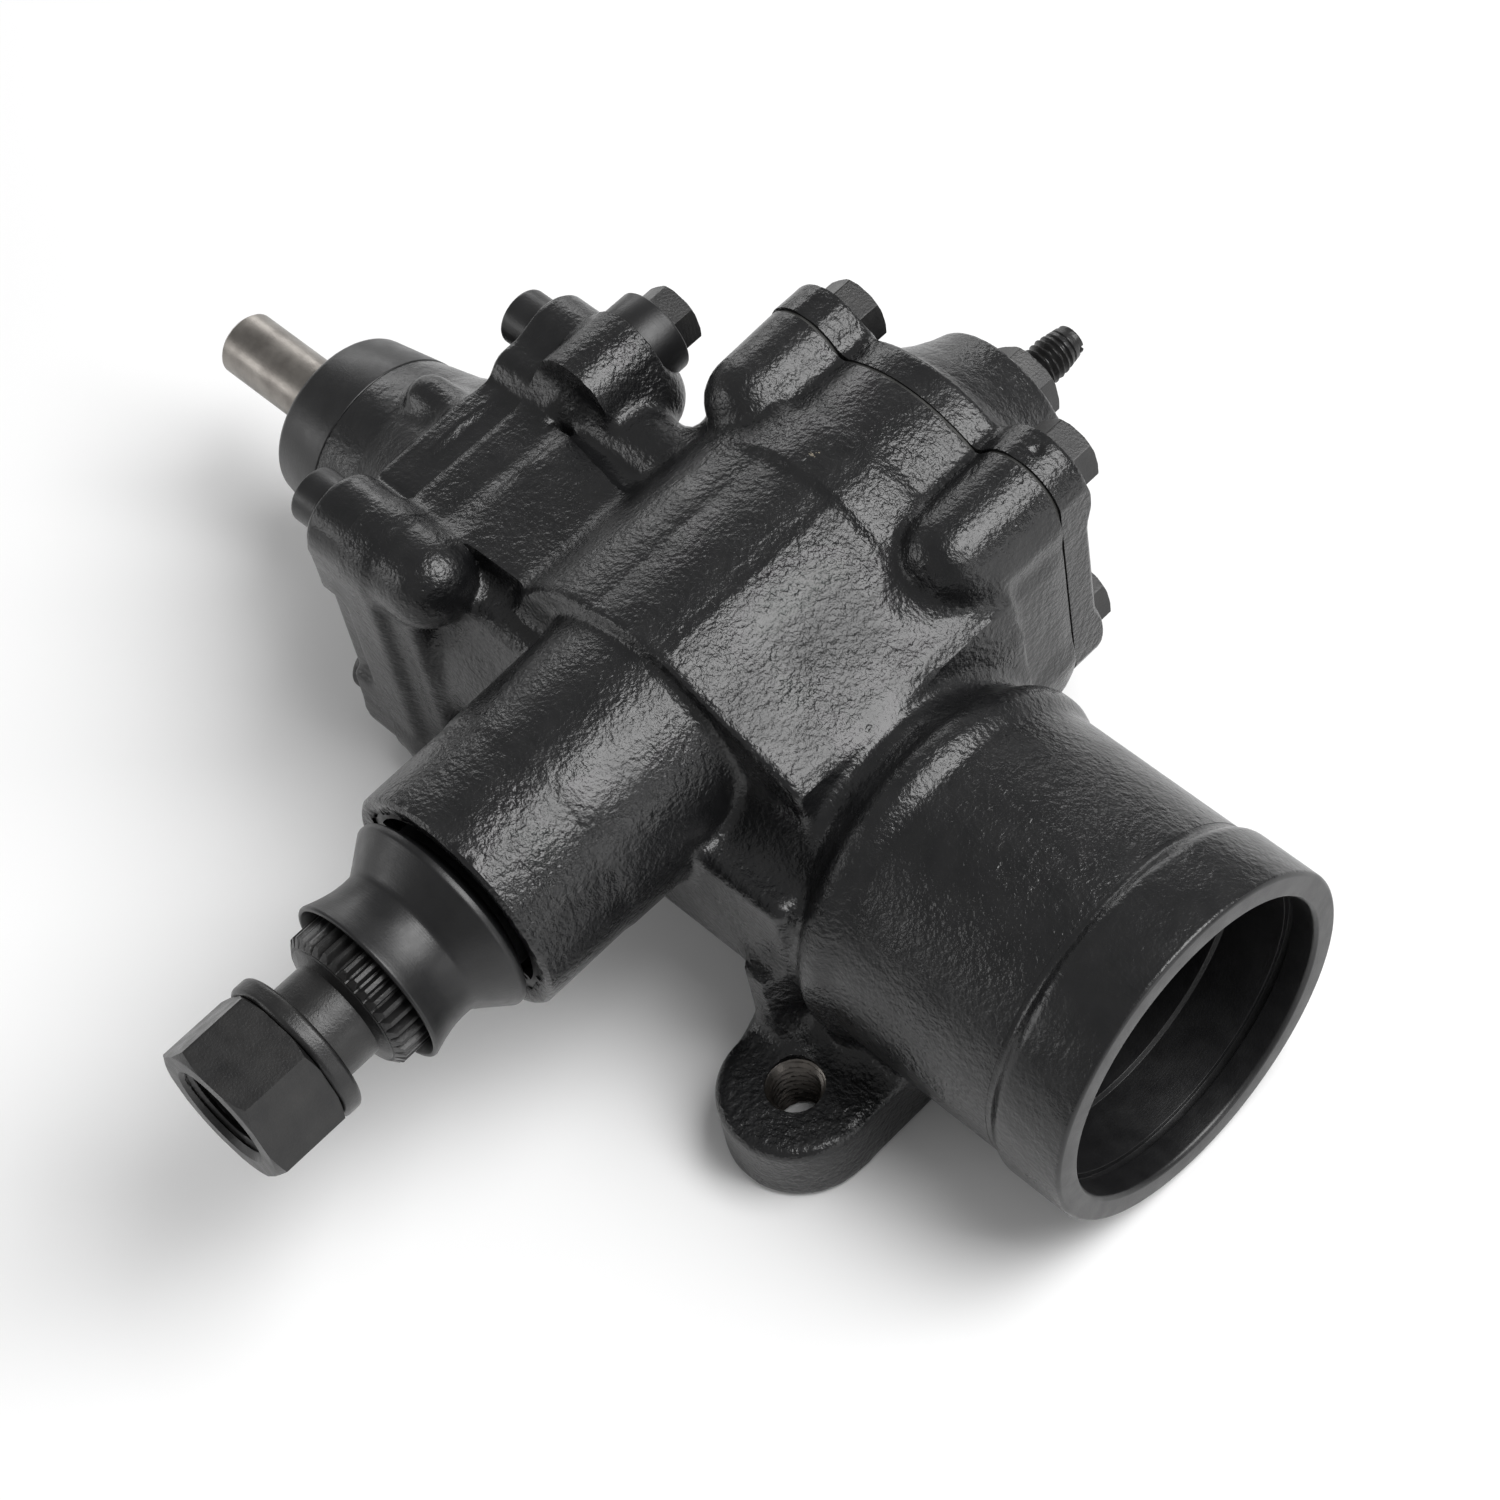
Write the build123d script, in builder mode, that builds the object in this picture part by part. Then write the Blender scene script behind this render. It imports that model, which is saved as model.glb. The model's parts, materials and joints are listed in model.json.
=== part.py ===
from build123d import *
import os
import math

os.makedirs("parts", exist_ok=True)

# ---------------------------------------------------------------- driving dimensions, mm
H = 46.0            # main bore axis above the mounting plane (the plane is z = 0)
S = 70.6            # sector shaft axis above the mounting plane
R_BORE = 32.0       # power cylinder bore radius
R_MOUTH = 38.1      # open mouth counterbore radius
R_BARREL = 43.0     # cast barrel outside radius
R_BAND = 44.6       # mouth band outside radius
R_NECK = 39.5       # barrel radius inside the sector body
X_MOUTH = 135.4     # mouth rim face
X_SEAM = -79.0      # joint plane between main housing and valve housing
X_FLANGE = -91.0    # outer face of the valve housing flange
BOLT_SQ = 33.5      # half side of the square valve bolt pattern
CB_X, CB_Z = 32.0, 26.0   # half spacings of the side cover bolt pattern
CB_X0, CB_Z0 = 1.5, S - 3.5   # centre of the side cover bolt pattern
Y_COVER = 60.3      # joint plane between side cover and housing
Y_COVER_OUT = 70.3  # outer face of the side cover flange
Y_TUBE = -85.6      # outer end of the sector tube
R_TUBE = 29.3       # sector tube outside radius
R_SECTOR = 17.46    # sector shaft journal radius
M_GEAR = 3.6        # module of rack and sector
N_GEAR = 10         # full-circle tooth count of the sector
PA = math.radians(25.0)
R_PITCH = M_GEAR * N_GEAR / 2
Z_PITCH = S - R_PITCH
BACKLASH = 0.30
LEAD = 8.0          # worm lead
R_BALL = 2.3        # recirculating ball radius
R_BALLTRACK = 9.3   # radius of the ball centres round the worm axis
R_INPUT = 8.34      # input shaft radius
R_JOURNAL = 7.6     # input shaft journal radius
EAR = (62.6, -53.1) # threaded ear centre, x and y
R_TAP = 5.55        # tapped mounting hole radius

C = Align.CENTER
MN = Align.MIN


def cx(x0, x1, r, y=0.0, z=H, mode=Mode.ADD):
    with Locations(Location((x0, y, z), (0, 90, 0))):
        Cylinder(r, x1 - x0, align=(C, C, MN), mode=mode)


def conex(x0, x1, r0, r1, y=0.0, z=H, mode=Mode.ADD):
    with Locations(Location((x0, y, z), (0, 90, 0))):
        Cone(r0, r1, x1 - x0, align=(C, C, MN), mode=mode)


def cy(y0, y1, r, x=0.0, z=S, mode=Mode.ADD):
    with Locations(Location((x, y0, z), (-90, 0, 0))):
        Cylinder(r, y1 - y0, align=(C, C, MN), mode=mode)


def coney(y0, y1, r0, r1, x=0.0, z=S, mode=Mode.ADD):
    with Locations(Location((x, y0, z), (-90, 0, 0))):
        Cone(r0, r1, y1 - y0, align=(C, C, MN), mode=mode)


def cz(z0, z1, r, x=0.0, y=0.0, mode=Mode.ADD):
    with Locations(Location((x, y, z0))):
        Cylinder(r, z1 - z0, align=(C, C, MN), mode=mode)


def conez(z0, z1, r0, r1, x=0.0, y=0.0, mode=Mode.ADD):
    with Locations(Location((x, y, z0))):
        Cone(r0, r1, z1 - z0, align=(C, C, MN), mode=mode)


def bx(x0, x1, y0, y1, z0, z1, mode=Mode.ADD):
    with Locations(Location(((x0 + x1) / 2, (y0 + y1) / 2, (z0 + z1) / 2))):
        Box(x1 - x0, y1 - y0, z1 - z0, mode=mode)


def hexy(y0, y1, across_flats, x=0.0, z=S, turn=0.0, mode=Mode.ADD):
    with BuildSketch(Plane(origin=(x, y0, z), x_dir=(1, 0, 0), z_dir=(0, 1, 0))) as s:
        RegularPolygon(across_flats / 2, 6, major_radius=False, rotation=turn)
    extrude(s.sketch, amount=y1 - y0, mode=mode)


def slab_y(points, y0, y1, mode=Mode.ADD):
    with BuildSketch(Plane(origin=(0, y0, 0), x_dir=(1, 0, 0), z_dir=(0, -1, 0))) as s:
        with BuildLine():
            Polyline(*points, close=True)
        make_face()
    extrude(s.sketch, amount=-(y1 - y0), mode=mode)


def ringy(profile, mode=Mode.ADD):
    with BuildSketch(Plane(origin=(0, 0, S), x_dir=(1, 0, 0), z_dir=(0, 0, 1))) as s:
        with BuildLine():
            Polyline(*profile, close=True)
        make_face()
    revolve(s.sketch, axis=Axis((0, 0, S), (0, 1, 0)), mode=mode)


def ringx(profile, mode=Mode.ADD):
    with BuildSketch(Plane(origin=(0, 0, H), x_dir=(1, 0, 0), z_dir=(0, 0, 1))) as s:
        with BuildLine():
            Polyline(*profile, close=True)
        make_face()
    revolve(s.sketch, axis=Axis((0, 0, H), (1, 0, 0)), mode=mode)


def cover_shape(inset):
    with Locations((0, S)):
        Circle(34.2 - inset)
    with Locations((CB_X0, CB_Z0)):
        Rectangle(2 * CB_X + 24 - 2 * inset, 2 * CB_Z)
    with Locations(*[(CB_X0 + sx * CB_X, CB_Z0 + sz * CB_Z) for sx in (-1, 1) for sz in (-1, 1)]):
        Circle(12 - inset)


valve_bolts = [(sy * BOLT_SQ, H + sz * BOLT_SQ) for sy in (-1, 1) for sz in (-1, 1)]
ports = [(-67.0, 38.5, H + 41.0), (-67.0, 44.5, H - 21.0)]
cover_bolts = [(CB_X0 + sx * CB_X, CB_Z0 + sz * CB_Z) for sx in (-1, 1) for sz in (-1, 1)]

# ---------------------------------------------------------------- main housing
with BuildPart() as main_housing:
    cx(-62, 54, R_NECK)
    conex(53.9, 60, R_NECK, R_BARREL)
    cx(60, 114, R_BARREL)
    ringx([(113.9, 30), (113.9, 42.4), (115.6, R_BAND), (134.4, R_BAND), (X_MOUTH, 43.6), (X_MOUTH, 30)])
    # square end that carries the valve housing
    bx(X_SEAM, -62, -44.5, 44.5, 9, H + 34.7)
    bx(X_SEAM, -62, -33.5, 33.5, 1.5, 20)
    for y, z in valve_bolts:
        cx(X_SEAM, -62, 11, y, z)
        with Locations((-62, y, z)):
            Sphere(11)
    # shoulder between the square end and the sector body, with its raised panel and oil passage
    bx(-66, -20, -36, 34, H - 30, H + 34)
    slab_y([(-68, H + 20), (-68, H + 38), (-66, H + 40), (-20, H + 42), (-20, H + 20)], -23, 7)
    cx(-69, -20, 9.5, 24, H + 33.5)
    with Locations((-69, 24, H + 33.5)):
        Sphere(9.5)
    # sector body: rounded ridge with a sloping flat towards the barrel
    with BuildSketch(Plane(origin=(0, -25, 0), x_dir=(1, 0, 0), z_dir=(0, -1, 0))) as ridge:
        with Locations((0, S)):
            Circle(33.5)
        with Locations((-10, S - 1)):
            Circle(32)
        with Locations((-5, S - 0.5)):
            Rectangle(10, 65)
        with BuildLine():
            Polyline((9.0, S + 32.3), (13.5, S + 30.6), (45.0, H + 42.6), (48.0, H + 40.2), (50.5, H + 28), (52, H), (-38, H),
                     (-42, S), (0, S), close=True)
        make_face()
    extrude(ridge.sketch, amount=-64)
    # body under the side cover
    with BuildSketch(Plane(origin=(0, 38, 0), x_dir=(1, 0, 0), z_dir=(0, -1, 0))) as pad:
        cover_shape(0)
    extrude(pad.sketch, amount=-(Y_COVER - 38))
    for x, z in cover_bolts:
        with Locations((x, 38, z)):
            Sphere(12)
    bx(-44, 44, 25, 56, H - 18, S)
    # bead where the barrel leaves the body, flat side wall under the tube
    ringx([(60, 30), (60, 43.0), (62.2, 44.3), (65.2, 44.5), (68, 43.0), (68, 30)])
    bx(10, 56, -42.6, -20, H - 14, H + 22)
    # sector tube
    coney(-84.4, -20, R_TUBE, R_TUBE + 1.2)
    coney(Y_TUBE, -84.4, R_TUBE - 1.0, R_TUBE)
    # mounting land, ear and pads, all ending on the mounting plane
    bx(-30, 34, -22, 22, 0, 12)
    cz(0, 18.6, 18.0, EAR[0], EAR[1])
    bx(EAR[0] - 18, EAR[0] + 18, EAR[1], -20, 0, 18.6)
    slab_y([(EAR[0] - 18, 10), (EAR[0] - 18, H - 4), (EAR[0] - 11, H - 4), (EAR[0] - 8, 18), (EAR[0] - 8, 10)], -46, -30)
    bx(-74, -36, -44.5, 44.5, 0, 16)
    # port bosses on the +Y side
    for x, y0, z in ports:
        cy(26, y0, 11.6, x, z)

    # hollows
    cx(X_SEAM - 1, 91, R_BORE, mode=Mode.SUBTRACT)
    cx(91, X_MOUTH + 1, R_MOUTH - 1.2, mode=Mode.SUBTRACT)
    cx(112, X_MOUTH + 1, R_MOUTH, mode=Mode.SUBTRACT)
    cx(101.0, 103.2, R_MOUTH + 0.6, mode=Mode.SUBTRACT)
    cx(126.5, 128.7, R_MOUTH + 1.5, mode=Mode.SUBTRACT)
    cx(X_SEAM - 1, X_SEAM + 3.0, 34.0, mode=Mode.SUBTRACT)
    cy(-27, Y_COVER + 1, 26.0, mode=Mode.SUBTRACT)
    cy(-70, -20, 22.0, mode=Mode.SUBTRACT)
    cy(Y_TUBE - 1, -69.9, 24.5, mode=Mode.SUBTRACT)
    cy(-84.8, -83.0, 25.6, mode=Mode.SUBTRACT)
    for y, z in valve_bolts:
        cx(X_SEAM - 1, -66, 4.8, y, z, mode=Mode.SUBTRACT)
    for x, z in cover_bolts:
        cy(36, Y_COVER + 1, 4.8, x, z, mode=Mode.SUBTRACT)
    cz(-1, 30, R_TAP, EAR[0], EAR[1], mode=Mode.SUBTRACT)
    conez(17.4, 18.7, R_TAP, R_TAP + 1.3, EAR[0], EAR[1], mode=Mode.SUBTRACT)
    for y in (-34, 34):
        cz(-1, 16, R_TAP, -48, y, mode=Mode.SUBTRACT)
    cy(20, 46, 4.2, ports[1][0], ports[1][2], mode=Mode.SUBTRACT)
    cy(ports[0][1], 60, 11.0, ports[0][0], ports[0][2], mode=Mode.SUBTRACT)
main_housing.part.label = "main_housing"

# ---------------------------------------------------------------- valve housing
with BuildPart() as valve_housing:
    bx(X_FLANGE, X_SEAM, -44.5, 44.5, H - 33.5, H + 34.7)
    bx(X_FLANGE, X_SEAM, -33.5, 33.5, H - 44.5, H + 20)
    for y, z in valve_bolts:
        cx(X_FLANGE, X_SEAM, 11, y, z)
    conex(-104, X_FLANGE + 1, 28.0, 34.0)
    conex(-120.6, -104, 24.55, 28.0)
    cx(-104, -90, 4.5, 5.5, H + 28.0)
    cx(-122, X_SEAM + 1, 20.05, mode=Mode.SUBTRACT)
    cx(-122, -117.0, 22.0, mode=Mode.SUBTRACT)
    cx(-83.0, X_SEAM + 1, 27.0, mode=Mode.SUBTRACT)
    for y, z in valve_bolts:
        cx(X_FLANGE - 1, X_SEAM + 1, 5.0, y, z, mode=Mode.SUBTRACT)
    with BuildSketch(Plane(origin=(X_FLANGE, 0, H), x_dir=(0, 1, 0), z_dir=(1, 0, 0))) as side_relief:
        with Locations((44.5, 0), (-44.5, 0)):
            RectangleRounded(3.0, 36, 1.4)
    extrude(side_relief.sketch, amount=8, mode=Mode.SUBTRACT)
valve_housing.part.label = "valve_housing"

with BuildPart() as valve_housing_seal:
    ringx([(X_SEAM + 0.1, 31.9), (X_SEAM + 0.1, 33.9), (X_SEAM + 2.9, 33.9), (X_SEAM + 2.9, 31.9)])
    cx(X_SEAM - 1, X_SEAM + 4, 32.05, mode=Mode.SUBTRACT)
valve_housing_seal.part.label = "valve_housing_seal"

with BuildPart() as valve_housing_bolts:
    for y, z in valve_bolts:
        cx(X_FLANGE - 9.5, X_FLANGE, 7.14, y, z)
        cx(X_FLANGE, -67, 4.76, y, z)
    fillet(valve_housing_bolts.edges().filter_by(GeomType.CIRCLE).filter_by(lambda e: abs(e.radius - 7.14) < 0.01 and e.center().X < X_FLANGE - 5), 1.0)
    for y, z in valve_bolts:
        with BuildSketch(Plane(origin=(X_FLANGE - 9.5, y, z), x_dir=(0, 1, 0), z_dir=(1, 0, 0))) as socket:
            RegularPolygon(3.97, 6, major_radius=False)
        extrude(socket.sketch, amount=5.0, mode=Mode.SUBTRACT)
valve_housing_bolts.part.label = "valve_housing_bolts"

# ---------------------------------------------------------------- input end
with BuildPart() as input_cap:
    ringx([(-137.3, 14.2), (-137.3, 20.7), (-136.2, 21.9), (-120.62, 24.55), (-120.62, 21.97), (-117.1, 21.97), (-117.1, 14.2)])
input_cap.part.label = "input_cap"

with BuildPart() as input_seal:
    ringx([(-136.3, R_JOURNAL + 0.05), (-136.3, 14.15), (-129.3, 14.15), (-129.3, 11.5), (-134.3, 11.5), (-134.3, R_JOURNAL + 0.05)])
input_seal.part.label = "input_seal"

with BuildPart() as input_bearing:
    ringx([(-128.0, R_JOURNAL + 0.04), (-128.0, 14.15), (-117.5, 14.15), (-117.5, R_JOURNAL + 0.04)])
input_bearing.part.label = "input_bearing"

with BuildPart() as input_shaft:
    ringx([(-174, 0), (-174, 7.6), (-173.2, R_INPUT), (-138.0, R_INPUT), (-138.0, R_JOURNAL), (-116.5, R_JOURNAL), (-116.5, 9.6), (-86, 9.6), (-86, 0)])
    cx(-150, -85, 3.4, mode=Mode.SUBTRACT)
    # control slots of the rotary spool
    for k in range(8):
        a = math.radians(45 * k + 22.5)
        with Locations(Location((-102, 10.2 * math.cos(a), H + 10.2 * math.sin(a)), (math.degrees(a), 0, 0))):
            Box(16, 1.8, 2.4, mode=Mode.SUBTRACT)
input_shaft.part.label = "input_shaft"

with BuildPart() as torsion_bar:
    cx(-149.5, -139.5, 3.35)
    cx(-139.5, -80, 2.4)
    cx(-80, -71, 3.35)
torsion_bar.part.label = "torsion_bar"

# ---------------------------------------------------------------- worm and valve sleeve
with BuildPart() as valve_sleeve:
    ringx([(-115.5, 9.66), (-115.5, 19.95), (-86.5, 19.95), (-86.5, 9.66)])
    for x in (-113.6, -107.0, -100.4, -93.8, -88.6):
        ringx([(x - 1.0, 18.6), (x - 1.0, 21), (x + 1.0, 21), (x + 1.0, 18.6)], mode=Mode.SUBTRACT)
    for x in (-110.3, -103.7, -97.1):
        ringx([(x - 1.5, 17.4), (x - 1.5, 21), (x + 1.5, 21), (x + 1.5, 17.4)], mode=Mode.SUBTRACT)
        with Locations(Location((x, 0, H), (0, 0, 0)), Location((x, 0, H), (90, 0, 0))):
            Cylinder(1.2, 36, mode=Mode.SUBTRACT)
valve_sleeve.part.label = "valve_sleeve"

with BuildPart() as valve_sleeve_rings:
    for x in (-113.6, -107.0, -100.4, -93.8, -88.6):
        ringx([(x - 0.95, 18.65), (x - 0.95, 20.02), (x + 0.95, 20.02), (x + 0.95, 18.65)])
valve_sleeve_rings.part.label = "valve_sleeve_rings"

with BuildPart() as worm_shaft:
    ringx([(-85.6, 0), (-85.6, 19.5), (-81.0, 19.5), (-81.0, 8.9), (-36.0, 8.9), (-34.5, 7.4), (-34.5, 0)])
    cx(-86.6, -70.9, 3.4, mode=Mode.SUBTRACT)
    cz(H - 20, H + 20, 1.6, -83.3, 0, mode=Mode.SUBTRACT)
with BuildLine() as worm_path:
    Helix(LEAD, 48.0, R_BALLTRACK, center=(-82.0, 0, H), direction=(1, 0, 0))
with BuildSketch(Plane(origin=worm_path.line @ 0, z_dir=worm_path.line % 0)) as groove_section:
    Circle(R_BALL + 0.12)
worm_groove = sweep(groove_section.sketch, path=worm_path.line, is_frenet=True, mode=Mode.PRIVATE)
with BuildPart() as worm_cut:
    add(worm_shaft.part)
    add(worm_groove, mode=Mode.SUBTRACT)
    cx(-37.2, -30, 12, mode=Mode.SUBTRACT)
worm_cut.part.label = "worm_shaft"

with BuildPart() as worm_drive_pin:
    cz(H - 18.0, H + 18.0, 1.6, -83.3, 0)
    cx(-86, -80, 3.3, mode=Mode.SUBTRACT)
worm_drive_pin.part.label = "worm_drive_pin"

with BuildPart() as worm_thrust_bearing:
    ringx([(-80.9, 9.2), (-80.9, 26.9), (-79.4, 26.9), (-79.4, 9.2)])
worm_thrust_bearing.part.label = "worm_thrust_bearing"

# ---------------------------------------------------------------- rack piston and ball circuit
PITCH = math.pi * M_GEAR
Z_TIP = Z_PITCH + M_GEAR
Z_ROOT = Z_PITCH - 1.25 * M_GEAR
half_tip = PITCH / 4 - M_GEAR * math.tan(PA)
half_root = PITCH / 4 + 1.25 * M_GEAR * math.tan(PA)
with BuildPart() as rack_piston:
    cx(-64, 70, R_BORE - 0.05)
    bx(-37.5, 37.5, -40, 40, Z_ROOT, H + 40, mode=Mode.SUBTRACT)
    for k in (-1.5, -0.5, 0.5, 1.5):
        slab_y([(k * PITCH - half_root, Z_ROOT - 1), (k * PITCH - half_root, Z_ROOT), (k * PITCH - half_tip, Z_TIP),
                (k * PITCH + half_tip, Z_TIP), (k * PITCH + half_root, Z_ROOT), (k * PITCH + half_root, Z_ROOT - 1)], -17, 17)
    cx(-65, -19.5, 9.7, mode=Mode.SUBTRACT)
    ringx([(62.0, 29.6), (62.0, 33), (64.6, 33), (64.6, 29.6)], mode=Mode.SUBTRACT)
    cx(48, 71, 17.0, mode=Mode.SUBTRACT)
    # pocket for the ball return tube in the underside
    bx(-60, -42, -8, 8, H - 40, H - 24.0, mode=Mode.SUBTRACT)
with BuildLine() as nut_path:
    Helix(LEAD, 24.0, R_BALLTRACK, center=(-62.0, 0, H), direction=(1, 0, 0))
nut_turn = (-62.0 - -82.0) / LEAD * 360.0
with BuildSketch(Plane(origin=nut_path.line @ 0, z_dir=nut_path.line % 0)) as nut_section:
    Circle(R_BALL + 0.12)
nut_groove = sweep(nut_section.sketch, path=nut_path.line, is_frenet=True, mode=Mode.PRIVATE)
nut_groove = nut_groove.rotate(Axis((0, 0, H), (1, 0, 0)), nut_turn)
with BuildPart() as rack_cut:
    add(rack_piston.part)
    add(nut_groove, mode=Mode.SUBTRACT)
rack_cut.part.label = "rack_piston"

helix_start = worm_path.line @ 0
a0 = math.atan2(helix_start.Z - H, helix_start.Y)
with BuildPart() as recirculating_balls:
    for k in range(28):
        x = -60.5 + k * 21.0 / 27
        a = a0 + 2 * math.pi * (x + 82.0) / LEAD
        with Locations((x, R_BALLTRACK * math.cos(a), H + R_BALLTRACK * math.sin(a))):
            Sphere(R_BALL)
recirculating_balls.part.label = "recirculating_balls"

with BuildPart() as ball_return_tube:
    bx(-58, -44, -4.5, 4.5, H - 29.0, H - 24.1)
    for x in (-55.5, -46.5):
        cz(H - 24.1, H - 24.05, 3.0, x, 0)
    with Locations(Location((-58.5, 0, H - 26.5), (0, 90, 0))):
        Cylinder(1.8, 15, align=(C, C, MN), mode=Mode.SUBTRACT)
ball_return_tube.part.label = "ball_return_tube"

with BuildPart() as piston_ring:
    ringx([(62.1, 29.65), (62.1, 31.98), (64.5, 31.98), (64.5, 29.65)])
piston_ring.part.label = "piston_ring"

# ---------------------------------------------------------------- sector shaft
rb = R_PITCH * math.cos(PA)
r_tip = R_PITCH + M_GEAR - 0.1
r_root = R_PITCH - 1.25 * M_GEAR + 0.1


def inv(r):
    a = math.acos(min(1.0, rb / r))
    return math.tan(a) - a


half_pitch_angle = (math.pi / 2 * M_GEAR - BACKLASH) / 2 / R_PITCH
flank = []
for i in range(9):
    r = rb + (r_tip - rb) * i / 8
    flank.append((r, half_pitch_angle + inv(R_PITCH) - inv(r)))


def tooth(centre):
    pts = [(r_root - 1.5, centre - flank[0][1] * 1.0), (r_root, centre - flank[0][1])]
    pts += [(r, centre - h) for r, h in flank]
    pts += [(r, centre + h) for r, h in reversed(flank)]
    pts += [(r_root, centre + flank[0][1]), (r_root - 1.5, centre + flank[0][1])]
    return [(r * math.sin(t), S - r * math.cos(t)) for r, t in pts]


with BuildPart() as sector_shaft:
    ringy([(0, 64), (R_SECTOR - 0.8, 64), (R_SECTOR, 63.2), (R_SECTOR, 18.5), (r_root, 18.5), (r_root, -18.5),
           (R_SECTOR, -18.5), (R_SECTOR, -89.0), (17.0, -90.0), (17.0, -117.2), (15.6, -118.2), (12.2, -119.6),
           (12.2, -129.3), (11.05, -130.3), (11.05, -142.5), (10.1, -143.5), (0, -143.5)])
    for k in range(-2, 3):
        slab_y(tooth(k * 2 * math.pi / N_GEAR), -17.5, 17.5)
    # plain back of the toothed length
    slab_y([(-16.5, S), (-16.5, S + 6.5), (-11, S + 14.5), (0, S + 17.4), (11, S + 14.5), (16.5, S + 6.5), (16.5, S)], -18.5, 18.5)
    # serrated output taper
    for k in range(36):
        a = 2 * math.pi * k / 36
        with BuildSketch(Plane(origin=(0, -90.5, S), x_dir=(1, 0, 0), z_dir=(0, -1, 0))) as serration:
            with BuildLine():
                Polyline(*[(r * math.cos(a + b), r * math.sin(a + b)) for r, b in
                           ((16.4, -0.075), (17.75, -0.028), (17.75, 0.028), (16.4, 0.075))], close=True)
            make_face()
        extrude(serration.sketch, amount=26.7)
    # T-slot pocket for the adjuster head
    cy(55.8, 65, 9.2, mode=Mode.SUBTRACT)
sector_shaft.part.label = "sector_shaft"

with BuildPart() as pitman_nut:
    hexy(-153.8, -134.6, 33.34, turn=21.4)
    ringy([(15.6, -153.9), (16.6, -153.9), (21, -151.4), (21, -155), (15.6, -155)], mode=Mode.SUBTRACT)
    ringy([(16.9, -134.5), (21, -136.6), (21, -134.0), (16.9, -134.0)], mode=Mode.SUBTRACT)
    cy(-156, -130, 11.11, mode=Mode.SUBTRACT)
    coney(-153.9, -152.2, 12.8, 11.11, mode=Mode.SUBTRACT)
pitman_nut.part.label = "pitman_nut"

with BuildPart() as lock_washer:
    ringy([(11.6, -134.5), (16.6, -134.5), (17.8, -133.6), (18.1, -132.2), (18.0, -130.8), (17.2, -129.7), (12.3, -129.5)])
    with Locations(Location((15 * math.cos(math.radians(215)), -132, S + 15 * math.sin(math.radians(215))), (0, -215, 25))):
        Box(9, 9, 0.7, mode=Mode.SUBTRACT)
lock_washer.part.label = "lock_washer"

with BuildPart() as dust_boot:
    ringy([(17.55, -77.6), (19.2, -77.6), (19.4, -85.4), (23.4, -87.4), (25.3, -88.6), (25.3, -90.2), (19.3, -98.0), (19.1, -99.0), (19.4, -103),
           (20.3, -107.6), (21.2, -111.2), (20.1, -111.6), (18.6, -107.0), (17.9, -101.0), (17.85, -89.5), (17.55, -89.0)])
dust_boot.part.label = "dust_boot"

# ---------------------------------------------------------------- sector bearings and seals in the tube
with BuildPart() as sector_bearing:
    ringy([(17.5, -64), (17.5, -34), (21.98, -34), (21.98, -64)])
sector_bearing.part.label = "sector_bearing"

with BuildPart() as sector_seal:
    ringy([(17.5, -76.6), (24.48, -76.6), (24.48, -70.1), (19.5, -70.1), (19.5, -72.6), (17.5, -72.6)])
sector_seal.part.label = "sector_seal"

with BuildPart() as sector_snap_ring:
    ringy([(23.2, -84.7), (25.5, -84.7), (25.5, -83.1), (23.2, -83.1)])
    with Locations((0, -83.9, S - 24)):
        Box(12, 3, 6, mode=Mode.SUBTRACT)
    for a in (158, -33):
        cy(-84.7, -83.1, 2.0, 22.2 * math.cos(math.radians(a)), S + 22.2 * math.sin(math.radians(a)))
        cy(-84.8, -83.0, 0.8, 22.0 * math.cos(math.radians(a)), S + 22.0 * math.sin(math.radians(a)), mode=Mode.SUBTRACT)
sector_snap_ring.part.label = "sector_snap_ring"

# ---------------------------------------------------------------- side cover
with BuildPart() as side_cover:
    with BuildSketch(Plane(origin=(0, Y_COVER + 0.8, 0), x_dir=(1, 0, 0), z_dir=(0, -1, 0))) as cover_outline:
        cover_shape(0)
    extrude(cover_outline.sketch, amount=-(Y_COVER_OUT - Y_COVER - 0.8))
    coney(Y_COVER_OUT - 0.5, 80, 29.5, 23.0)
    coney(80, 89.6, 23.0, 20.06)
    cy(46, Y_COVER + 1, 25.95)
    cy(45, 66.5, 20.5, mode=Mode.SUBTRACT)
    cy(66, 91, 5.2, mode=Mode.SUBTRACT)
    for x, z in cover_bolts:
        cy(Y_COVER, Y_COVER_OUT + 1, 5.0, x, z, mode=Mode.SUBTRACT)
side_cover.part.label = "side_cover"

with BuildPart() as side_cover_gasket:
    with BuildSketch(Plane(origin=(0, Y_COVER + 0.02, 0), x_dir=(1, 0, 0), z_dir=(0, -1, 0))) as gasket_outline:
        cover_shape(0.5)
        with Locations((0, S)):
            Circle(26.2, mode=Mode.SUBTRACT)
        with Locations(*cover_bolts):
            Circle(5.1, mode=Mode.SUBTRACT)
    extrude(gasket_outline.sketch, amount=-0.76)
side_cover_gasket.part.label = "side_cover_gasket"

with BuildPart() as side_cover_bolts:
    for x, z in cover_bolts:
        cy(Y_COVER_OUT, Y_COVER_OUT + 0.9, 8.6, x, z)
        hexy(Y_COVER_OUT + 0.9, Y_COVER_OUT + 7.5, 15.0, x, z, turn=12)
        cy(40, Y_COVER_OUT + 0.1, 4.76, x, z)
side_cover_bolts.part.label = "side_cover_bolts"

with BuildPart() as cover_bushing:
    ringy([(17.5, 46.2), (17.5, 65.5), (20.48, 65.5), (20.48, 46.2)])
cover_bushing.part.label = "cover_bushing"

with BuildPart() as adjuster_screw:
    cy(56.6, 61.0, 8.4)
    cy(61.0, 108.5, 5.1)
    coney(108.5, 113.4, 5.1, 3.9)
    bx(-6, 6, 111.6, 114, S - 0.8, S + 0.8, mode=Mode.SUBTRACT)
adjuster_screw.part.label = "adjuster_screw"

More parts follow.
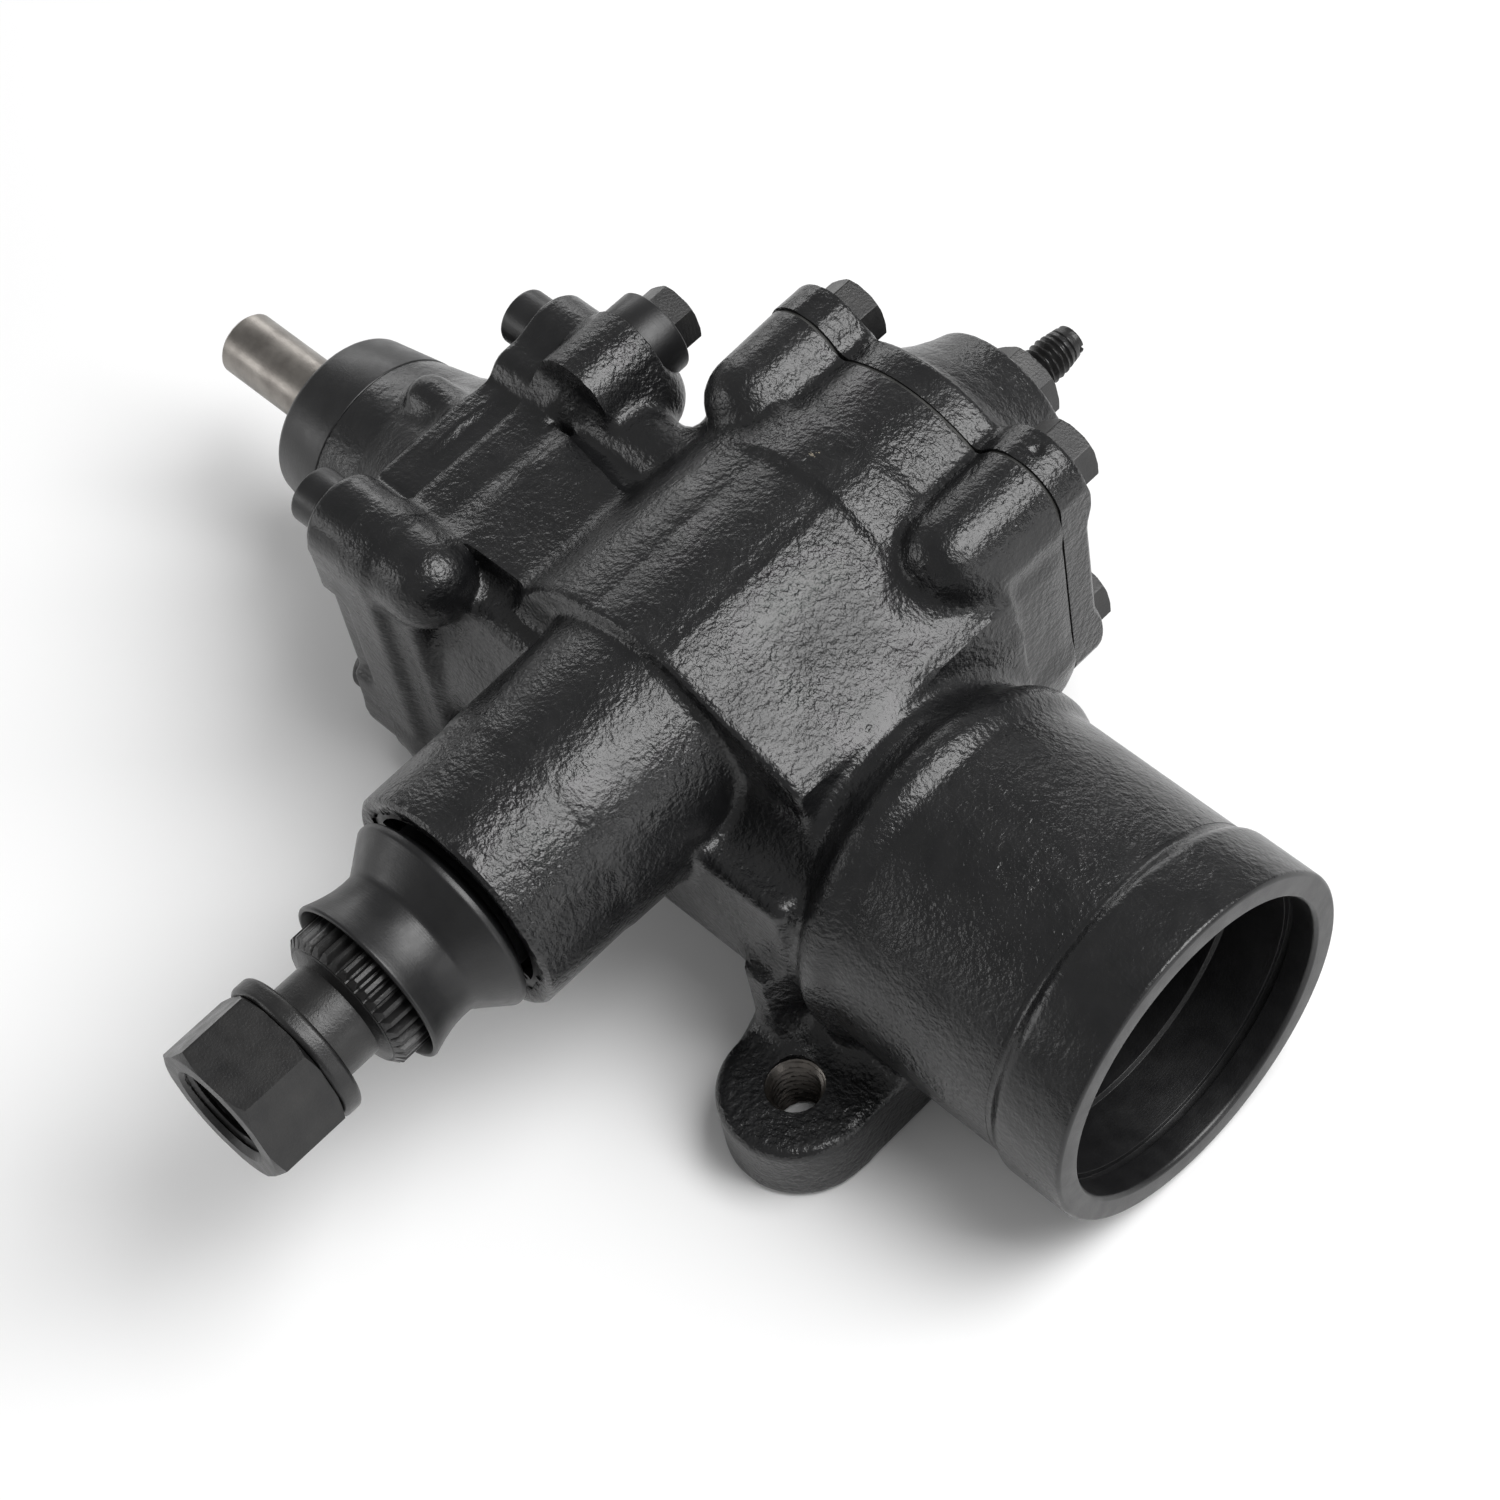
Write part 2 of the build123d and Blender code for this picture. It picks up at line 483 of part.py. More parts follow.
with BuildPart() as adjuster_lock_nut:
    hexy(89.7, 98.9, 17.46, turn=8)
    cy(89, 100, 5.15, mode=Mode.SUBTRACT)
adjuster_lock_nut.part.label = "adjuster_lock_nut"

# ---------------------------------------------------------------- closed end of the cylinder
with BuildPart() as end_plug:
    cx(93.0, 100.6, R_MOUTH - 1.25)
    cx(91.0, 93.0, R_MOUTH - 3.2)
    cx(97.0, 101, 24.0, mode=Mode.SUBTRACT)
    ringx([(94.6, 34.9), (94.6, 38), (97.4, 38), (97.4, 34.9)], mode=Mode.SUBTRACT)
    cx(95.5, 103, 8.0)
    with BuildSketch(Plane(origin=(99.0, 0, H), x_dir=(0, 1, 0), z_dir=(1, 0, 0))) as drive:
        Rectangle(9.6, 9.6)
    extrude(drive.sketch, amount=5, mode=Mode.SUBTRACT)
end_plug.part.label = "end_plug"

with BuildPart() as end_plug_seal:
    ringx([(94.7, 34.95), (94.7, 36.88), (97.3, 36.88), (97.3, 34.95)])
end_plug_seal.part.label = "end_plug_seal"

with BuildPart() as end_plug_ring:
    ringx([(101.1, 34.4), (101.1, 38.6), (103.1, 38.6), (103.1, 34.4)])
    bx(100, 104, -4, 4, H - 40, H - 30, mode=Mode.SUBTRACT)
end_plug_ring.part.label = "end_plug_ring"

# ---------------------------------------------------------------- ports
with BuildPart() as port_seats:
    for x, y0, z in ports:
        cy(y0, y0 + 8.1, 10.8, x, z)
        cy(y0 - 1, y0 + 9, 4.2, x, z, mode=Mode.SUBTRACT)
port_seats.part.label = "port_seats"

with BuildPart() as port_plugs:
    for x, y0, z in ports:
        hexy(y0 + 8.1, y0 + 15.1, 14.3, x, z, turn=12)
        cy(y0 + 0.6, y0 + 8.2, 4.15, x, z)
port_plugs.part.label = "port_plugs"

PARTS = {
    "main_housing": main_housing, "valve_housing": valve_housing, "valve_housing_seal": valve_housing_seal,
    "valve_housing_bolts": valve_housing_bolts, "input_cap": input_cap, "input_seal": input_seal,
    "input_bearing": input_bearing, "input_shaft": input_shaft, "torsion_bar": torsion_bar,
    "valve_sleeve": valve_sleeve, "valve_sleeve_rings": valve_sleeve_rings, "worm_shaft": worm_cut,
    "worm_drive_pin": worm_drive_pin, "worm_thrust_bearing": worm_thrust_bearing, "rack_piston": rack_cut,
    "recirculating_balls": recirculating_balls, "ball_return_tube": ball_return_tube, "piston_ring": piston_ring,
    "sector_shaft": sector_shaft, "pitman_nut": pitman_nut, "lock_washer": lock_washer, "dust_boot": dust_boot,
    "sector_bearing": sector_bearing, "sector_seal": sector_seal, "sector_snap_ring": sector_snap_ring,
    "side_cover": side_cover, "side_cover_gasket": side_cover_gasket, "side_cover_bolts": side_cover_bolts,
    "cover_bushing": cover_bushing, "adjuster_screw": adjuster_screw, "adjuster_lock_nut": adjuster_lock_nut,
    "end_plug": end_plug, "end_plug_seal": end_plug_seal, "end_plug_ring": end_plug_ring,
    "port_seats": port_seats, "port_plugs": port_plugs,
}
for name, built in PARTS.items():
    built.part.label = name
    export_step(built.part, "parts/" + name + ".step")
    bb = built.part.bounding_box()
    print(name, "solids", len(built.part.solids()), "vol %.0f" % built.part.volume,
          "x %.1f %.1f y %.1f %.1f z %.1f %.1f" % (bb.min.X, bb.max.X, bb.min.Y, bb.max.Y, bb.min.Z, bb.max.Z))
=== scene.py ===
import bpy, json, math
import numpy as np
from mathutils import Matrix, Vector


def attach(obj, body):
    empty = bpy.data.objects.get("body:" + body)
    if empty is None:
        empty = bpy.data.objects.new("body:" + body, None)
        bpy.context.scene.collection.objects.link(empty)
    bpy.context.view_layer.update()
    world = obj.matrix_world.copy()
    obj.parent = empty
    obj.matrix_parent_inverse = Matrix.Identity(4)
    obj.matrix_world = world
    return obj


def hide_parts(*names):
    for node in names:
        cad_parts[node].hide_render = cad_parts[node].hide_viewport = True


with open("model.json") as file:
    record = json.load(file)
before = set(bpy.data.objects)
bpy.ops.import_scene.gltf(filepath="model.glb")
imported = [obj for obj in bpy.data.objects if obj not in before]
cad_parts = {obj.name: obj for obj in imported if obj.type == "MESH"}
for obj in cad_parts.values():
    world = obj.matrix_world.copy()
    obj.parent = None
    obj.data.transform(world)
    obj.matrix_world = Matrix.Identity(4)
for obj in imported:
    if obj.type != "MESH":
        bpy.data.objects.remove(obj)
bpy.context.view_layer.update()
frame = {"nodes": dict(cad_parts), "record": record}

H, S = 46.0, 70.6
F = np.float32
VB = [(-33.5, H - 33.5), (-33.5, H + 33.5), (33.5, H - 33.5), (33.5, H + 33.5)]
CB = [(-30.5, S - 29.5), (-30.5, S + 22.5), (33.5, S - 29.5), (33.5, S + 22.5)]
PORTS = [(-67.0, 38.5, H + 41.0), (-67.0, 44.5, H - 21.0)]

# ------------------------------------------------------------ distance fields, mm
def capped(q, s, e=0.0):
    q = q + e
    s = s + e
    return np.minimum(np.maximum(q, s), 0) + np.hypot(np.maximum(q, 0), np.maximum(s, 0)) - e

def cyl(u, v, w, r, w0, w1, e=0.0):
    return capped(np.hypot(u, v) - r, np.abs(w - (w0 + w1) / 2) - (w1 - w0) / 2, e)

def cone(u, v, w, r0, r1, w0, w1, e=0.0):
    k = (r1 - r0) / (w1 - w0)
    return capped((np.hypot(u, v) - (r0 + k * (w - w0))) / math.sqrt(1 + k * k), np.abs(w - (w0 + w1) / 2) - (w1 - w0) / 2, e)

def box(x, y, z, x0, x1, y0, y1, z0, z1, e=0.0):
    a = np.abs(x - (x0 + x1) / 2) - (x1 - x0) / 2 + e
    b = np.abs(y - (y0 + y1) / 2) - (y1 - y0) / 2 + e
    c = np.abs(z - (z0 + z1) / 2) - (z1 - z0) / 2 + e
    return np.minimum(np.maximum(a, np.maximum(b, c)), 0) + np.sqrt(np.maximum(a, 0) ** 2 + np.maximum(b, 0) ** 2 + np.maximum(c, 0) ** 2) - e

def capsule(x, y, z, p, q, r, r1=None):
    p = np.array(p, F); q = np.array(q, F)
    d = q - p
    t = np.clip(((x - p[0]) * d[0] + (y - p[1]) * d[1] + (z - p[2]) * d[2]) / float(d @ d), 0, 1)
    rr = r if r1 is None else r + (r1 - r) * t
    return np.sqrt((x - p[0] - d[0] * t) ** 2 + (y - p[1] - d[1] * t) ** 2 + (z - p[2] - d[2] * t) ** 2) - rr

def poly(u, v, pts):
    n = len(pts)
    d = np.full(u.shape, 1e9, F)
    inside = np.zeros(u.shape, bool)
    for i in range(n):
        (ax, ay), (bx_, by_) = pts[i], pts[(i + 1) % n]
        ex, ey = bx_ - ax, by_ - ay
        wx, wy = u - ax, v - ay
        t = np.clip((wx * ex + wy * ey) / (ex * ex + ey * ey + 1e-12), 0, 1)
        d = np.minimum(d, (wx - ex * t) ** 2 + (wy - ey * t) ** 2)
        c = ((ay <= v) != (by_ <= v))
        if ey != 0:
            inside ^= c & (u < ax + ex * (v - ay) / ey)
    return np.where(inside, -np.sqrt(d), np.sqrt(d))

def extrude(d2, w, w0, w1, e=0.0):
    return capped(d2, np.abs(w - (w0 + w1) / 2) - (w1 - w0) / 2, e)

def su(a, b, k):
    h = np.maximum(k - np.abs(a - b), 0) / k
    return np.minimum(a, b) - h * h * k * 0.25

def ss(a, b, k):
    h = np.maximum(k - np.abs(a + b), 0) / k
    return np.maximum(a, -b) + h * h * k * 0.25

def si(a, b, k):
    return -su(-a, -b, k)

def hexagon(u, v, af, turn):
    d = None
    for i in range(6):
        a = math.radians(turn + 60 * i)
        c = u * math.cos(a) + v * math.sin(a) - af / 2
        d = c if d is None else np.maximum(d, c)
    return d

def thread(u, v, w, r, depth, pitch, hand=1):
    ph = (w / pitch - hand * np.arctan2(v, u) / (2 * math.pi)) % 1.0
    tri = np.clip(np.abs(2 * ph - 1) * 1.25 - 0.12, 0, 1)
    return (np.hypot(u, v) - (r - depth * tri)) * 0.62

# ------------------------------------------------------------ dual contouring
def contour(name, f, lo, hi, h, coarse=3, margin=0.8, smooth_deg=38):
    keep_lo, keep_hi = np.array(lo, float), np.array(hi, float)
    lo = keep_lo - 1.5 * h
    hi = keep_hi + 1.5 * h
    n = np.ceil((hi - lo) / h / coarse).astype(int) * coarse
    nc = n // coarse
    ax = [(lo[i] + h * (coarse * (np.arange(nc[i]) + 0.5) - 0.5)).astype(F) for i in range(3)]
    g = np.meshgrid(*ax, indexing="ij")
    vc = f(g[0].ravel(), g[1].ravel(), g[2].ravel()).reshape(nc)
    near = np.abs(vc) < 0.87 * coarse * h + margin
    V = np.repeat(np.repeat(np.repeat(vc, coarse, 0), coarse, 1), coarse, 2).astype(F)
    M = np.repeat(np.repeat(np.repeat(near, coarse, 0), coarse, 1), coarse, 2)
    idx = np.argwhere(M)
    P = (lo + idx * h).astype(F)
    out = np.empty(len(P), F)
    for s in range(0, len(P), 400000):
        q = P[s:s + 400000]
        out[s:s + 400000] = f(q[:, 0], q[:, 1], q[:, 2])
    V[idx[:, 0], idx[:, 1], idx[:, 2]] = out
    V[V == 0] = 1e-4
    I = V < 0
    pts, cells, quads = [], [], []
    strides = np.array([n[1] * n[2], n[2], 1])
    for a in range(3):
        b, c = (a + 1) % 3, (a + 2) % 3
        sl0 = [slice(None)] * 3; sl1 = [slice(None)] * 3
        sl0[a] = slice(0, -1); sl1[a] = slice(1, None)
        cross = np.argwhere(I[tuple(sl0)] != I[tuple(sl1)])
        ok = (cross[:, b] > 0) & (cross[:, c] > 0)
        cross = cross[ok]
        nxt = cross.copy(); nxt[:, a] += 1
        v0 = V[cross[:, 0], cross[:, 1], cross[:, 2]]; v1 = V[nxt[:, 0], nxt[:, 1], nxt[:, 2]]
        p = lo + cross * h
        p[:, a] += h * v0 / (v0 - v1)
        base = cross @ strides
        quad = np.stack([base, base - strides[b], base - strides[b] - strides[c], base - strides[c]], 1)
        flip = v0 > 0
        quad[flip] = quad[flip][:, ::-1]
        pts.append(p); quads.append(quad)
    p = np.concatenate(pts); quads = np.concatenate(quads)
    def grad(p):
        e = 0.08
        d = []
        for k in range(3):
            q = p.copy(); q[:, k] += e; a = f(*(q.T.astype(F)))
            q[:, k] -= 2 * e; d.append((a - f(*(q.T.astype(F)))) / (2 * e))
        return np.stack(d, 1).astype(float)
    for _ in range(2):
        nrm = grad(p)
        L2 = np.maximum((nrm ** 2).sum(1), 0.05)
        val = f(*(p.T.astype(F))).astype(float)
        p = p - np.clip(val / L2, -h, h)[:, None] * nrm
    nrm = grad(p)
    nrm /= np.maximum(np.linalg.norm(nrm, axis=1), 1e-6)[:, None]
    flat = quads.ravel()
    uniq, inv = np.unique(flat, return_inverse=True)
    inv = inv.reshape(quads.shape)
    m = len(uniq)
    e_id = np.repeat(np.arange(len(p)), 4)
    c_id = inv.ravel()
    cnt = np.bincount(c_id, minlength=m).astype(float)
    mass = np.stack([np.bincount(c_id, p[e_id, k], m) for k in range(3)], 1) / cnt[:, None]
    A = np.zeros((m, 3, 3)); B = np.zeros((m, 3))
    dist = ((p[e_id] - mass[c_id]) * nrm[e_id]).sum(1)
    for i in range(3):
        B[:, i] = np.bincount(c_id, nrm[e_id, i] * dist, m)
        for j in range(i, 3):
            A[:, i, j] = A[:, j, i] = np.bincount(c_id, nrm[e_id, i] * nrm[e_id, j], m)
    A += np.eye(3)[None] * (0.04 * cnt)[:, None, None]
    x = mass + np.linalg.solve(A, B[:, :, None])[:, :, 0]
    cell = np.stack(np.unravel_index(uniq, n), 1)
    c0 = lo + cell * h
    x = np.clip(x, c0 - 0.05 * h, c0 + 1.05 * h)
    x = np.clip(x, keep_lo, keep_hi)
    return mesh(name, x, inv, smooth_deg)

def mesh(name, verts, faces, smooth_deg=38, scale=0.001):
    me = bpy.data.meshes.new(name)
    v = np.asarray(verts, float) * scale
    if isinstance(faces, np.ndarray):
        k = faces.shape[1]
        me.vertices.add(len(v)); me.vertices.foreach_set("co", v.astype(F).ravel())
        me.loops.add(faces.size); me.loops.foreach_set("vertex_index", faces.astype(np.int32).ravel())
        me.polygons.add(len(faces))
        me.polygons.foreach_set("loop_start", np.arange(0, faces.size, k, dtype=np.int32))
        me.update(calc_edges=True); me.validate()
    else:
        me.from_pydata(v.tolist(), [], faces)
    me.polygons.foreach_set("use_smooth", np.ones(len(me.polygons), bool))
    me.set_sharp_from_angle(angle=math.radians(smooth_deg))
    me.update()
    ob = bpy.data.objects.new(name, me)
    bpy.context.scene.collection.objects.link(ob)
    return ob

def lathe(name, prof, axis="y", centre=(0, 0, 0), seg=160, smooth_deg=32):
    prof = [tuple(p) for p in prof]
    n = len(prof)
    ang = np.arange(seg) * 2 * math.pi / seg
    V = []
    for w, r in prof:
        a, b = r * np.cos(ang), r * np.sin(ang)
        if axis == "y":
            V.append(np.stack([centre[0] + a, np.full(seg, w), centre[2] + b], 1))
        else:
            V.append(np.stack([np.full(seg, w), centre[1] + a, centre[2] + b], 1))
    V = np.concatenate(V)
    i = np.arange(n)[:, None]; j = np.arange(seg)[None]
    a = i * seg + j; b = i * seg + (j + 1) % seg
    c = ((i + 1) % n) * seg + (j + 1) % seg; d = ((i + 1) % n) * seg + j
    q = np.stack([a + 0 * b, b + 0 * a, c + 0 * a, d + 0 * a], -1).reshape(-1, 4)
    area = sum(prof[k][0] * prof[(k + 1) % n][1] - prof[(k + 1) % n][0] * prof[k][1] for k in range(n))
    if (area > 0) == (axis == "y"):
        q = q[:, ::-1]
    return mesh(name, V, q, smooth_deg)

def rounded(prof, r=0.5, steps=4):
    """closed profile with every corner rounded"""
    out = []
    n = len(prof)
    for i in range(n):
        p0, p, p1 = np.array(prof[i - 1], float), np.array(prof[i][:2], float), np.array(prof[(i + 1) % n][:2], float)
        p0 = p0[:2]
        rr = prof[i][2] if len(prof[i]) > 2 else r
        a, b = p0 - p, p1 - p
        la, lb = np.linalg.norm(a), np.linalg.norm(b)
        t = min(rr, la * 0.45, lb * 0.45)
        s, e = p + a / la * t, p + b / lb * t
        for k in range(steps + 1):
            u = k / steps
            q = (1 - u) ** 2 * s + 2 * u * (1 - u) * p + u * u * e
            out.append((float(q[0]), float(q[1])))
    return out

# ------------------------------------------------------------ castings
RIDGE = [(9.0, S + 32.3), (13.5, S + 30.6), (45.0, H + 42.6), (48.0, H + 40.2), (50.5, H + 28), (52, H), (-38, H), (-42, S), (0, S)]

def joint_outline(y, z):
    """2-D outline shared by both castings where they meet"""
    def b2(y0, y1, z0, z1, e):
        a = np.abs(y - (y0 + y1) / 2) - (y1 - y0) / 2 + e
        c = np.abs(z - (z0 + z1) / 2) - (z1 - z0) / 2 + e
        return np.minimum(np.maximum(a, c), 0) + np.hypot(np.maximum(a, 0), np.maximum(c, 0)) - e
    p = b2(-44.5, 44.5, H - 33.5, H + 33.5, 2.0)
    p = su(p, b2(-33.5, 33.5, 1.6, 24, 2.0), 3)
    p = su(p, b2(-23.0, 14.0, H + 10, H + 36.8, 3.0), 4)
    p = su(p, b2(14.5, 33.5, H + 10, H + 41.5, 6.0), 5)
    for yy, zz in VB:
        p = su(p, np.hypot(y - yy, z - zz) - 11.0, 2.5)
    return p

def f_main(x, y, z):
    zh, zs = z - H, z - S
    nk = np.interp(x, [-70, 50, 54, 60, 120], [39.5, 39.5, 40.0, 43.0, 43.0]).astype(F)
    d = capped((np.hypot(y, zh) - nk) * 0.9, np.abs(x - 26.2) - 88.2, 0.0)
    d = su(d, cyl(y, zh, x, 44.7, 60.0, 67.0, 3.0), 3.5)
    # square end
    po = joint_outline(y, z)
    sq = extrude(po, x, -92, -70.5, 1.5)
    sq = su(sq, box(x, y, z, -86, -60.0, -42.0, 42.0, 9, H + 31, 3.0), 5)
    for yy, zz in VB:
        sq = su(sq, capsule(x, y, z, (-90, yy, zz), (-61.5, yy, zz), 11.0), 2.5)
    d = su(d, sq, 4)
    sh = box(x, y, z, -67, -20, -33, 30, H - 30, H + 31.5, 5)
    top = poly(x, z, [(-78, H + 10), (-78, H + 36.8), (-68, H + 37.6), (-60, H + 39.4), (-20, H + 40.4), (-20, H + 10)])
    e1 = y - (14.0 - np.clip((x + 70) * 0.19, 0, 6.2))
    e2 = -(y + 23.0)
    sh = su(sh, capped(np.maximum(top, np.maximum(e1, e2)), -x - 78, 1.2), 3)
    sh = su(sh, capsule(x, y, z, (-74, 24.5, H + 32.3), (-20, 24.5, H + 33.5), 9.2, 8.8), 3)
    sh = su(sh, np.sqrt((x + 68.5) ** 2 + (y - 24) ** 2 + (z - H - 34.5) ** 2) - 8.6, 2.5)
    d = su(d, sh, 3.5)
    # sector body with the sloping flat
    rd = np.minimum(np.hypot(x, zs) - 33.5, np.hypot(x + 10, z - S + 1) - 32)
    rd = su(rd, poly(x, z, RIDGE) , 1.5)
    body = extrude(rd, y, -25.2, 42, 1.2)
    d = su(d, body, 4)
    # columns and wall under the side cover
    pad = box(x, y, z, -42.5, 45.5, 38, 70, S - 29.5, S + 22.5, 3)
    pad = su(pad, np.maximum(np.hypot(x, zs) - 34.2, np.abs(y - 50) - 20), 6)
    for xx, zz in CB:
        pad = su(pad, capsule(x, y, z, (xx, 43.0 if xx < 0 else 38.5, zz), (xx, 76, zz), 11.4, 12.4), 4.5)
    d = su(d, pad, 3.5)
    d = su(d, np.sqrt((x - 32) ** 2 + (y - 28.5) ** 2 + (z - S - 13.5) ** 2) - 10.0, 4)
    d = su(d, box(x, y, z, -42.5, 45.4, 22, 62, H - 18, S + 16, 7), 4)
    # side wall, sector tube
    d = su(d, box(x, y, z, 9, 56, -42.6, -20, H - 14, H + 22, 3), 4)
    tube = cone(x, zs, y, 29.2, 30.5, Y0, -15)
    d = su(d, tube, 3.0)
    d = np.maximum(d, np.where(y < -60, (np.hypot(x, zs) - 29.3 + np.abs(y - Y0) * 0 + np.maximum(0, (Y0 + 0.9) - y) * 1.0), -1e3))
    # mounting land, ear and pads
    land = box(x, y, z, -30, 34, -22, 22, 0, 14, 1.5)
    ear = cyl(x - 62.6, y + 53.1, z, 18.0, 0, 18.6, 2.2)
    ear = su(ear, box(x, y, z, 44.6, 80.6, -53.1, -18, 0, 18.6, 2.2), 1.0)
    d = su(d, land, 6)
    d = su(d, ear, 9)
    web = extrude(poly(x, z, [(44.6, 8), (44.6, H - 5), (50.6, H - 5), (56, 19), (56, 8)]), y, -47, -30, 2.0)
    d = su(d, web, 7)
    d = su(d, box(x, y, z, -74, -36, -44.5, 44.5, 0, 16, 2.5), 5)
    for xx, y0, zz in PORTS:
        d = su(d, cyl(x - xx, z - zz, y, 11.6, 20, y0, 0.6), 4)
    # planes
    d = np.maximum(d, -79.0 - x)
    d = np.maximum(d, y - 60.3)
    d = np.maximum(d, -z)
    d = np.maximum(d, x - 113.6)
    # hollows
    d = np.maximum(d, -(cyl(y, zh, x, 32.0, -90, 91)))
    d = np.maximum(d, -(cyl(y, zh, x, 40.4, 90.9, 140)))
    d = np.maximum(d, -(cyl(y, zh, x, 34.0, -90, -76)))
    d = np.maximum(d, -(cyl(x, zs, y, 26.0, -27, 80)))
    d = np.maximum(d, -(cyl(x, zs, y, 22.0, -100, -20)))
    d = np.maximum(d, -(cyl(x, zs, y, 24.5, -100, -69.9)))
    d = np.maximum(d, -(cyl(x, zs, y, 25.6, -84.8, -83.0)))
    for yy, zz in VB:
        d = np.maximum(d, -(cyl(y - yy, z - zz, x, 4.8, -90, -66)))
    for xx, zz in CB:
        d = np.maximum(d, -(cyl(x - xx, z - zz, y, 4.8, 36, 80)))
    d = np.maximum(d, -(cyl(x - 62.6, y + 53.1, z, 6.9, -5, 30)))
    for yy in (-34, 34):
        d = np.maximum(d, -(cyl(x + 48, y - yy, z, 5.55, -5, 16)))
    d = np.maximum(d, -(cyl(x + 67, z - PORTS[1][2], y, 4.2, 20, 60)))
    d = np.maximum(d, -(cyl(x + 67, z - PORTS[0][2], y, 11.0, PORTS[0][1], 60)))
    return d

Y0 = -85.6
casting = contour("housing_casting", f_main, (-79, -85.6, 0), (114.2, 60.3, 105.1), 1.4)

def f_valve(x, y, z):
    zh = z - H
    d = extrude(joint_outline(y, z), x, -91.0, -70, 1.4)
    side = np.minimum(box(x, y, z, -92, -83.4, 42.6, 50, H - 17, H + 17, 2), box(x, y, z, -92, -83.4, -50, -42.6, H - 17, H + 17, 2))
    d = ss(d, side, 2)
    k = np.interp(x, [-120.6, -113, -107.5, -104.0, -98.0, -91.0, -86.0], [24.3, 26.0, 27.2, 28.6, 31.2, 34.2, 36.5]).astype(F)
    nose = capped((np.hypot(y, zh) - k) * 0.93, np.abs(x + 103.3) - 17.3, 0.0)
    d = su(d, nose, 4)
    d = su(d, capsule(x, y, z, (-102.5, 4.5, H + 28.2), (-88, 4.5, H + 29.2), 6.2), 3)
    d = np.maximum(d, x + 79.0)
    d = np.maximum(d, -(cyl(y, zh, x, 20.05, -140, -70)))
    d = np.maximum(d, -(cyl(y, zh, x, 22.0, -140, -117)))
    d = np.maximum(d, -(cyl(y, zh, x, 27.0, -83, -70)))
    for yy, zz in VB:
        d = np.maximum(d, -(cyl(y - yy, z - zz, x, 5.0, -99, -70)))
    return d

valve = contour("valve_casting", f_valve, (-120.6, -44.6, 1.4), (-79, 44.6, 90.6), 0.85)

def f_cover(x, y, z):
    zs = z - S
    d = box(x, y, z, -42.5, 45.5, 50, 69.4, S - 29.5, S + 22.5, 1.6)
    d = su(d, cyl(x, zs, y, 34.2, 50, 69.4, 1.6), 6)
    for xx, zz in CB:
        d = su(d, cyl(x - xx, z - zz, y, 12.3, 50, 70.3, 1.2), 4.5)
    k = np.interp(y, [60, 70.3, 74, 80, 85, 89.6], [31.5, 29.3, 27.0, 23.6, 21.5, 20.1]).astype(F)
    boss = capped((np.hypot(x, zs) - k) * 0.94, np.abs(y - 79.6) - 10.0, 0.9)
    d = su(d, boss, 3.5)
    d = np.maximum(d, z - (S + 34.5))
    d = np.maximum(d, 61.1 - y)
    d = np.minimum(d, cyl(x, zs, y, 25.95, 46, 62))
    d = np.maximum(d, -(cyl(x, zs, y, 20.5, 40, 66.5)))
    d = np.maximum(d, -(cyl(x, zs, y, 5.2, 60, 99)))
    d = np.maximum(d, -(np.sqrt((x - 35.5) ** 2 + (y - 65.5) ** 2 + (z - S - 35.6) ** 2) - 2.2))
    for xx, zz in CB:
        d = np.maximum(d, -(cyl(x - xx, z - zz, y, 5.0, 40, 80)))
    return d

cover = contour("cover_casting", f_cover, (-42.5, 46, 29.1), (45.5, 89.6, 105.1), 0.85)

# machined band and counterbore at the open end
band_prof = [(91.0, 36.9), (101.0, 36.9), (101.0, 38.7), (103.2, 38.7), (103.2, 36.9), (112.0, 36.9), (112.6, 38.1), (126.5, 38.1), (126.5, 39.6), (128.7, 39.6),
             (128.7, 38.1), (134.6, 38.1, 0.5), (135.4, 38.8, 0.3), (135.4, 43.9, 0.4), (134.7, 44.6, 0.5), (117.6, 44.6, 2.5), (114.9, 42.7, 2.4), (112.8, 43.05, 0.6), (112.0, 41.0), (91.0, 41.0)]
band = lathe("mouth_band", rounded(band_prof, 0.12, 4), "x", (0, 0, H), 360)
ear_thread = contour("ear_thread", lambda x, y, z: np.maximum(np.maximum(cyl(x - 62.6, y + 53.1, z, 7.05, 0.3, 17.9), -thread(x - 62.6, y + 53.1, z, 6.45, 0.85, 1.95)),
                     -cone(x - 62.6, y + 53.1, z, 5.4, 7.2, 16.2, 18.2)), (55.4, -60.3, 0.3), (69.8, -45.9, 17.9), 0.3, margin=0.5)

# ------------------------------------------------------------ output end
def f_nut(x, y, z):
    zs = z - S
    d = hexagon(x, zs, 33.34, 21.4 + 0) 
    d = np.maximum(d, np.abs(y + 144.2) - 9.6)
    rr = np.hypot(x, zs)
    d = np.maximum(d, (rr - 16.9 - (y + 153.8) * 1.75) * 0.5)
    d = np.maximum(d, (rr - 17.1 + (y + 134.6) * 1.75) * 0.5)
    d = np.maximum(d, -thread(x, zs, y, 11.9, 0.85, 1.814) )
    d = np.maximum(d, -cone(x, zs, y, 13.0, 11.1, -154.2, -152.0))
    return d

def hexturn(prof_turn):
    return prof_turn

nut = contour("pitman_nut_faced", f_nut, (-19.4, -153.8, S - 19.4), (19.4, -134.6, S + 19.4), 0.42, margin=0.5, smooth_deg=26)

def f_washer(x, y, z):
    zs = z - S
    rr = np.hypot(x, zs)
    d = capped(np.abs(rr - 14.9) - 3.15, np.abs(y + 132.0) - 2.45, 1.3)
    a = math.radians(215)
    u = x * math.cos(a) + zs * math.sin(a) - 15
    t = -x * math.sin(a) + zs * math.cos(a)
    cut = np.maximum(np.abs(t - (y + 132) * 0.45) - 0.45, -u - 6)
    return np.maximum(d, -cut)

